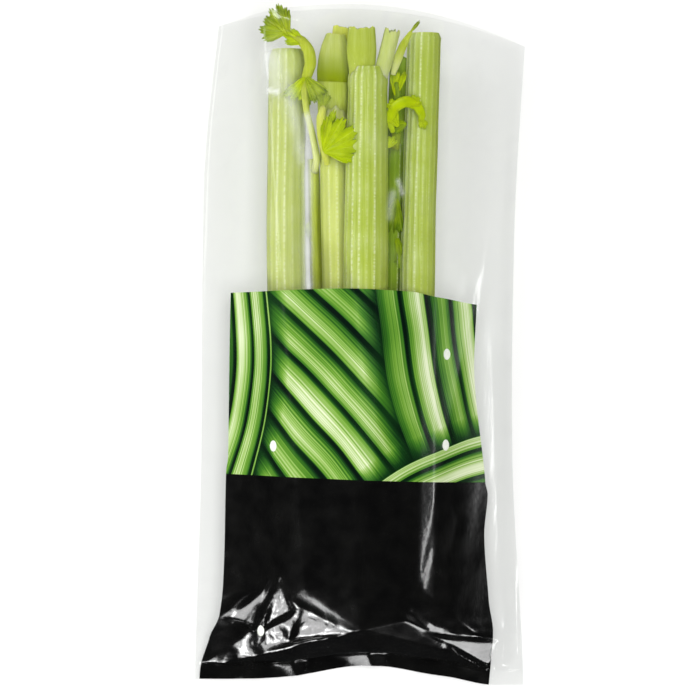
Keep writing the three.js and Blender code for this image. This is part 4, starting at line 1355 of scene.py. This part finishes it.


# Clear polypropylene film, cast: nearly colourless, with a hard bright gloss at its folds and a little haze
# where it has been handled. Its milky white strokes are painted glare: glints, a veil and a lit gap between
# stalks.
def clearFilm():
    made, tree = newMaterial("clear polypropylene film")
    coords = addNode(tree, "ShaderNodeTexCoord")
    # handling haze in patches of about 25 mm
    haze = addNode(
        tree, "ShaderNodeTexNoise", {"Vector": coords.outputs["Object"], "Scale": 40, "Detail": 5}
    )
    hazeShare = addNode(
        tree,
        "ShaderNodeMapRange",
        {"Value": haze.outputs[0], "From Min": 0.5, "From Max": 0.8, "To Min": 0.003, "To Max": 0.05},
    )
    paintedGlare = addNode(tree, "ShaderNodeAttribute", attribute_name="hazeAndPaintedGlare")
    # the painted glare is uneven, stronger where the haze is
    uneven = addNode(
        tree,
        "ShaderNodeMapRange",
        {"Value": haze.outputs[0], "From Min": 0.35, "From Max": 0.6, "To Min": 0.6, "To Max": 1.0},
    )
    hazeAndGlareShare = addNode(
        tree,
        "ShaderNodeMath",
        {0: paintedGlare.outputs["Fac"], 1: uneven.outputs[0], 2: hazeShare.outputs[0]},
        operation="MULTIPLY_ADD",
    )
    # draw lines along the web, 6 mm apart
    stretched = addNode(
        tree, "ShaderNodeMapping", {"Vector": coords.outputs["Object"], "Scale": (170, 25, 80)}
    )
    lines = addNode(
        tree, "ShaderNodeTexNoise", {"Vector": stretched.outputs[0], "Scale": 1.0, "Detail": 2}
    )
    bump = addNode(
        tree, "ShaderNodeBump", {"Height": lines.outputs[0], "Strength": 0.35, "Distance": 0.4 * mm}
    )
    tint = addNode(tree, "ShaderNodeBsdfTransparent", {"Color": (0.976, 0.98, 0.976, 1)})
    hazeAndPaintedGlare = addNode(
        tree, "ShaderNodeBsdfDiffuse", {"Color": (0.86, 0.88, 0.86, 1), "Normal": bump.outputs[0]}
    )
    body = addNode(
        tree, "ShaderNodeMixShader", {0: hazeAndGlareShare.outputs[0], 1: tint.outputs[0], 2: hazeAndPaintedGlare.outputs[0]}
    )
    # gloss of a thin sheet, the same from both sides: 6% head on, rising at the rim
    facing = addNode(tree, "ShaderNodeLayerWeight", {"Blend": 0.5, "Normal": bump.outputs[0]})
    rim = addNode(tree, "ShaderNodeMath", {0: facing.outputs["Facing"], 1: 5.0}, operation="POWER")
    edge = addNode(tree, "ShaderNodeMath", {0: rim.outputs[0], 1: 0.85, 2: 0.06}, operation="MULTIPLY_ADD")
    shine = addNode(
        tree,
        "ShaderNodeBsdfAnisotropic",
        {"Color": (1, 1, 1, 1), "Roughness": 0.14, "Normal": bump.outputs[0]},
    )
    surface = addNode(
        tree, "ShaderNodeMixShader", {0: edge.outputs[0], 1: body.outputs[0], 2: shine.outputs[0]}
    )
    addNode(tree, "ShaderNodeOutputMaterial", {"Surface": surface.outputs[0]})
    return made


# Black gravure ink under polypropylene: deep and slightly warm, glossy, grey only where it catches light.
def blackPrint():
    made, tree = newMaterial("black ink under film")
    coords = addNode(tree, "ShaderNodeTexCoord")
    # tones that drift over 11 mm
    mottle = addNode(
        tree, "ShaderNodeTexNoise", {"Vector": coords.outputs["Object"], "Scale": 90, "Detail": 6}
    )
    ramp = addNode(tree, "ShaderNodeValToRGB", {"Fac": mottle.outputs[0]})
    setStops(ramp, [(0.35, "#060606"), (0.7, "#0c0c0b")])
    # fine buckles, 3 mm apart
    buckles = addNode(
        tree, "ShaderNodeTexNoise", {"Vector": coords.outputs["Object"], "Scale": 330, "Detail": 3}
    )
    bump = addNode(
        tree, "ShaderNodeBump", {"Height": buckles.outputs[0], "Strength": 0.3, "Distance": 0.25 * mm}
    )
    # the crushed corner has soft dents 8 mm apart as well
    crush = addNode(tree, "ShaderNodeAttribute", attribute_name="crush")
    dents = addNode(
        tree,
        "ShaderNodeTexNoise",
        {"Vector": coords.outputs["Object"], "Scale": 120, "Detail": 1.5, "Distortion": 0.6},
    )
    dented = addNode(
        tree, "ShaderNodeMath", {0: dents.outputs[0], 1: crush.outputs["Fac"]}, operation="MULTIPLY"
    )
    dentBump = addNode(
        tree,
        "ShaderNodeBump",
        {"Height": dented.outputs[0], "Normal": bump.outputs[0], "Strength": 1.0, "Distance": 0.6 * mm},
    )
    gloss = addNode(
        tree,
        "ShaderNodeMapRange",
        {"Value": mottle.outputs[0], "From Min": 0.3, "From Max": 0.7, "To Min": 0.16, "To Max": 0.28},
    )
    surface = addNode(
        tree,
        "ShaderNodeBsdfPrincipled",
        {
            "Base Color": ramp.outputs[0],
            "Roughness": gloss.outputs[0],
            "IOR": 1.5,
            "Normal": dentBump.outputs[0],
            "Coat Weight": 0.8,
            "Coat Roughness": 0.1,
            "Coat Normal": dentBump.outputs[0],
        },
    )
    addNode(tree, "ShaderNodeOutputMaterial", {"Surface": surface.outputs[0]})
    return made


# A generic print of crossing ribbons with fine ribs, in leaf greens, as a continuous tone under the film.
ribbons = {
    # centre of the arcs, pitch of the ribbons, reach, in mm, and a first offset as a share of the pitch;
    # later fans lie on earlier ones
    "fans": [
        {"centre": (-330, -330), "pitch": 17, "reach": 2000, "offset": 0.0},
        {"centre": (330, 60), "pitch": 15.5, "reach": 318, "offset": 0.35},
        {"centre": (-230, 10), "pitch": 12.5, "reach": 182, "offset": 0.6},
        {"centre": (120, -250), "pitch": 14.5, "reach": 208, "offset": 0.15},
    ],
    "stripes": 9,  # across each ribbon
    "wander": 7,
    # light across a ribbon: a dark gap, the crest a third of the way over, then falling into shade
    "body": [(0.0, 0.0), (0.05, 0.05), (0.12, 0.42), (0.34, 0.66), (0.62, 0.5), (0.88, 0.24), (1.0, 0.0)],
    "edge": 0.3,  # half width of the soft edge where a fan ends
    "shadow": 12,  # how far its shadow reaches
    "tones": [
        (0.0, "#04140b"), (0.18, "#123a14"), (0.38, "#386f1e"), (0.58, "#6b9a34"), (0.76, "#9fbd6c"),
        (0.95, "#dde6c2"),
    ],
}


def ribbonTone(tree, place, fan):
    away = addNode(tree, "ShaderNodeVectorMath", {0: place, 1: (*fan["centre"], 0.0)}, operation="DISTANCE")
    count = addNode(
        tree,
        "ShaderNodeMath",
        {0: away.outputs["Value"], 1: 1 / fan["pitch"], 2: fan["offset"]},
        operation="MULTIPLY_ADD",
    )
    across = addNode(tree, "ShaderNodeMath", {0: count.outputs[0]}, operation="FRACT")
    number = addNode(tree, "ShaderNodeMath", {0: count.outputs[0]}, operation="FLOOR")
    chance = addNode(tree, "ShaderNodeTexWhiteNoise", {"W": number.outputs[0]}, noise_dimensions="1D")
    body = addNode(tree, "ShaderNodeFloatCurve", {"Value": across.outputs[0]})
    curve = body.mapping.curves[0]
    while len(curve.points) < len(ribbons["body"]):
        curve.points.new(0.5, 0.5)
    for point, knot in zip(curve.points, ribbons["body"]):
        point.location = knot
    body.mapping.update()
    # stripes of uneven tone along the ribbon
    steps = addNode(
        tree, "ShaderNodeMath", {0: count.outputs[0], 1: ribbons["stripes"] * 2.0}, operation="MULTIPLY"
    )
    fine = addNode(
        tree,
        "ShaderNodeTexNoise",
        {"W": steps.outputs[0], "Scale": 1.0, "Detail": 2},
        noise_dimensions="1D",
    )
    striped = addNode(
        tree,
        "ShaderNodeMath",
        {0: fine.outputs[0], 1: 0.62, 2: body.outputs[0]},
        operation="MULTIPLY_ADD",
    )
    toned = addNode(
        tree,
        "ShaderNodeMath",
        {0: chance.outputs["Value"], 1: 0.34, 2: striped.outputs[0]},
        operation="MULTIPLY_ADD",
    )
    lowered = addNode(tree, "ShaderNodeMath", {0: toned.outputs[0], 1: 0.4}, operation="SUBTRACT")
    # keeps the gaps dark whatever the ribbon's own tone
    gap = addNode(
        tree,
        "ShaderNodeMapRange",
        {"Value": body.outputs[0], "From Min": 0.0, "From Max": 0.34, "To Min": 0.0, "To Max": 1.0},
        interpolation_type="SMOOTHSTEP",
    )
    tone = addNode(tree, "ShaderNodeMath", {0: lowered.outputs[0], 1: gap.outputs[0]}, operation="MULTIPLY")
    return tone.outputs[0], away.outputs["Value"]


def ribbonPrint():
    made, tree = newMaterial("green ribbon print under film")
    place = addNode(tree, "ShaderNodeAttribute", attribute_name="printPlace").outputs["Vector"]
    coords = addNode(tree, "ShaderNodeTexCoord")
    # the arcs wander a little over 70 mm
    drift = addNode(tree, "ShaderNodeTexNoise", {"Vector": place, "Scale": 0.014, "Detail": 1})
    offset = addNode(
        tree,
        "ShaderNodeVectorMath",
        {0: drift.outputs["Color"], 1: (ribbons["wander"], ribbons["wander"], 0)},
        operation="MULTIPLY",
    )
    wandered = addNode(tree, "ShaderNodeVectorMath", {0: place, 1: offset.outputs[0]}, operation="ADD")
    tone = ribbonTone(tree, wandered.outputs[0], ribbons["fans"][0])[0]
    for fan in ribbons["fans"][1:]:
        upper, away = ribbonTone(tree, wandered.outputs[0], fan)
        reach, edge, shadowReach = fan["reach"], ribbons["edge"], ribbons["shadow"]
        over = addNode(
            tree, "ShaderNodeMapRange", {"Value": away, "From Min": reach + edge, "From Max": reach - edge}
        )
        # the fan below is in shadow near the edge of the one above
        shadow = addNode(
            tree,
            "ShaderNodeMapRange",
            {"Value": away, "From Min": reach, "From Max": reach + shadowReach, "To Min": 0.1},
        )
        lower = addNode(tree, "ShaderNodeMath", {0: tone, 1: shadow.outputs[0]}, operation="MULTIPLY")
        tone = addNode(
            tree,
            "ShaderNodeMix",
            {0: over.outputs[0], 2: lower.outputs[0], 3: upper},
            data_type="FLOAT",
        ).outputs[0]
    # broad light and shade over 60 mm
    soft = addNode(tree, "ShaderNodeTexNoise", {"Vector": place, "Scale": 0.017, "Detail": 2})
    varied = addNode(
        tree, "ShaderNodeMath", {0: soft.outputs[0], 1: 0.5, 2: tone}, operation="MULTIPLY_ADD"
    )
    level = addNode(tree, "ShaderNodeMath", {0: varied.outputs[0], 1: 0.22}, operation="SUBTRACT")
    ramp = addNode(tree, "ShaderNodeValToRGB", {"Fac": level.outputs[0]})
    setStops(ramp, ribbons["tones"])
    # buckles 6 mm apart
    buckles = addNode(
        tree, "ShaderNodeTexNoise", {"Vector": coords.outputs["Object"], "Scale": 160, "Detail": 2}
    )
    bump = addNode(
        tree, "ShaderNodeBump", {"Height": buckles.outputs[0], "Strength": 0.2, "Distance": 0.2 * mm}
    )
    surface = addNode(
        tree,
        "ShaderNodeBsdfPrincipled",
        {"Base Color": ramp.outputs[0], "Roughness": 0.24, "IOR": 1.5, "Normal": bump.outputs[0]},
    )
    addNode(tree, "ShaderNodeOutputMaterial", {"Surface": surface.outputs[0]})
    return made


# White gravure ink, seen where a vent is pressed through the colours: chalky with a faint mottle. Its white
# is partly painted light, standing in for the lit celery and table seen through open vents.
def whiteInkAndVentLight():
    made, tree = newMaterial("white ink underlay and painted vent light")
    coords = addNode(tree, "ShaderNodeTexCoord")
    # specks of 2 mm
    mottle = addNode(
        tree, "ShaderNodeTexNoise", {"Vector": coords.outputs["Object"], "Scale": 500, "Detail": 3}
    )
    ramp = addNode(tree, "ShaderNodeValToRGB", {"Fac": mottle.outputs[0]})
    setStops(ramp, [(0.3, "#dfe3d8"), (0.7, "#ecefe6")])
    surface = addNode(
        tree, "ShaderNodeBsdfPrincipled", {"Base Color": ramp.outputs[0], "Roughness": 0.6, "IOR": 1.45}
    )
    addNode(tree, "ShaderNodeOutputMaterial", {"Surface": surface.outputs[0]})
    return made


clear = clearFilm()
dress(front, clear, ribbonPrint(), blackPrint(), whiteInkAndVentLight())
dress(back, clear)
sleeve = joinPieces("sleeve_film", [front, back])
pick(sleeve)
bpy.ops.object.mode_set(mode="EDIT")
bpy.ops.mesh.select_all(action="SELECT")
bpy.ops.mesh.remove_doubles(threshold=0.01 * mm)
bpy.ops.object.mode_set(mode="OBJECT")
smoothShade(sleeve, 35)
settle(sleeve, "sleeve")
print("sleeve finished:", len(sleeve.data.polygons), "faces")


# Pale light table: matt opal acrylic with the faintest clouding, lit a little from beneath.
def opalTable():
    made, tree = newMaterial("opal acrylic table")
    coords = addNode(tree, "ShaderNodeTexCoord")
    # clouds of 80 mm
    clouds = addNode(
        tree, "ShaderNodeTexNoise", {"Vector": coords.outputs["Object"], "Scale": 12, "Detail": 2}
    )
    ramp = addNode(tree, "ShaderNodeValToRGB", {"Fac": clouds.outputs[0]})
    setStops(ramp, [(0.3, "#c6c6c5"), (0.7, "#cacac9")])
    surface = addNode(
        tree,
        "ShaderNodeBsdfPrincipled",
        {
            "Base Color": ramp.outputs[0],
            "Roughness": 0.85,
            "Emission Color": (1, 1, 1, 1),
            "Emission Strength": 0.38,
        },
    )
    addNode(tree, "ShaderNodeOutputMaterial", {"Surface": surface.outputs[0]})
    return made


deselectAll()
bpy.ops.mesh.primitive_plane_add(size=9)
floor = dress(bpy.context.object, opalTable())
floor.name = "light_table"
floor.visible_glossy = False

# Soft studio light: a large overhead panel for the even light, and softboxes that the film mirrors.
# place, aim and size are in metres.
studio = {
    "overhead_panel": {"place": (0.35, 0, 3.2), "aim": (0, 0, 0), "size": (2.4, 2.4), "power": 112},
    "key_softbox": {"place": (-1.25, 1.3, 1.5), "aim": (0, 0, 0), "size": (0.8, 0.8), "power": 14},
    "low_softbox": {
        "place": (-1.04, -1.06, 0.45), "aim": (-0.03, -0.15, 0.02), "size": (0.8, 0.7), "power": 10,
    },
    "low_spot": {
        "place": (-1.06, -1.08, 0.46), "aim": (-0.03, -0.15, 0.02), "size": (0.34, 0.26), "power": 4.2,
    },
    "left_strip": {"place": (-1.3, 0.2, 0.75), "aim": (0, 0.1, 0), "size": (0.3, 0.26), "power": 0.6},
    "foot_softbox": {
        "place": (0.84, -1.1, 0.27), "aim": (0.05, -0.16, 0), "size": (0.4, 0.28), "power": 2.6,
    },
    "right_strip": {
        "place": (1.31, -0.12, 0.58), "aim": (0.03, -0.1, 0), "size": (0.26, 0.14), "power": 0.9,
    },
}
for name, lamp in studio.items():
    place, aim = Vector(lamp["place"]), Vector(lamp["aim"])
    bpy.ops.object.light_add(type="AREA", location=place)
    light = bpy.context.object
    light.name = name
    light.rotation_euler = (aim - place).to_track_quat("-Z", "Y").to_euler()
    light.data.shape = "RECTANGLE"
    light.data.size, light.data.size_y = lamp["size"]
    light.data.energy = lamp["power"]
    light.visible_glossy = name != "overhead_panel"  # it would show as a white sheet in the film

world = bpy.data.worlds.new("studio air")
world.use_nodes = True
air = world.node_tree.nodes["Background"]
air.inputs["Color"].default_value = shade("#e9edf0")
air.inputs["Strength"].default_value = 0.02
bpy.context.scene.world = world
bpy.context.scene.view_settings.view_transform = "Standard"

# Straight above the middle of the pack, with its mouth up.
camera = {"place": (-6.05, -1.65, 2540), "lens": 233.8}
bpy.ops.object.camera_add(location=[c * mm for c in camera["place"]], rotation=(0, 0, 0))
bpy.context.object.data.lens = camera["lens"]
bpy.context.object.data.sensor_width = 36
bpy.context.scene.camera = bpy.context.object
print("studio set")
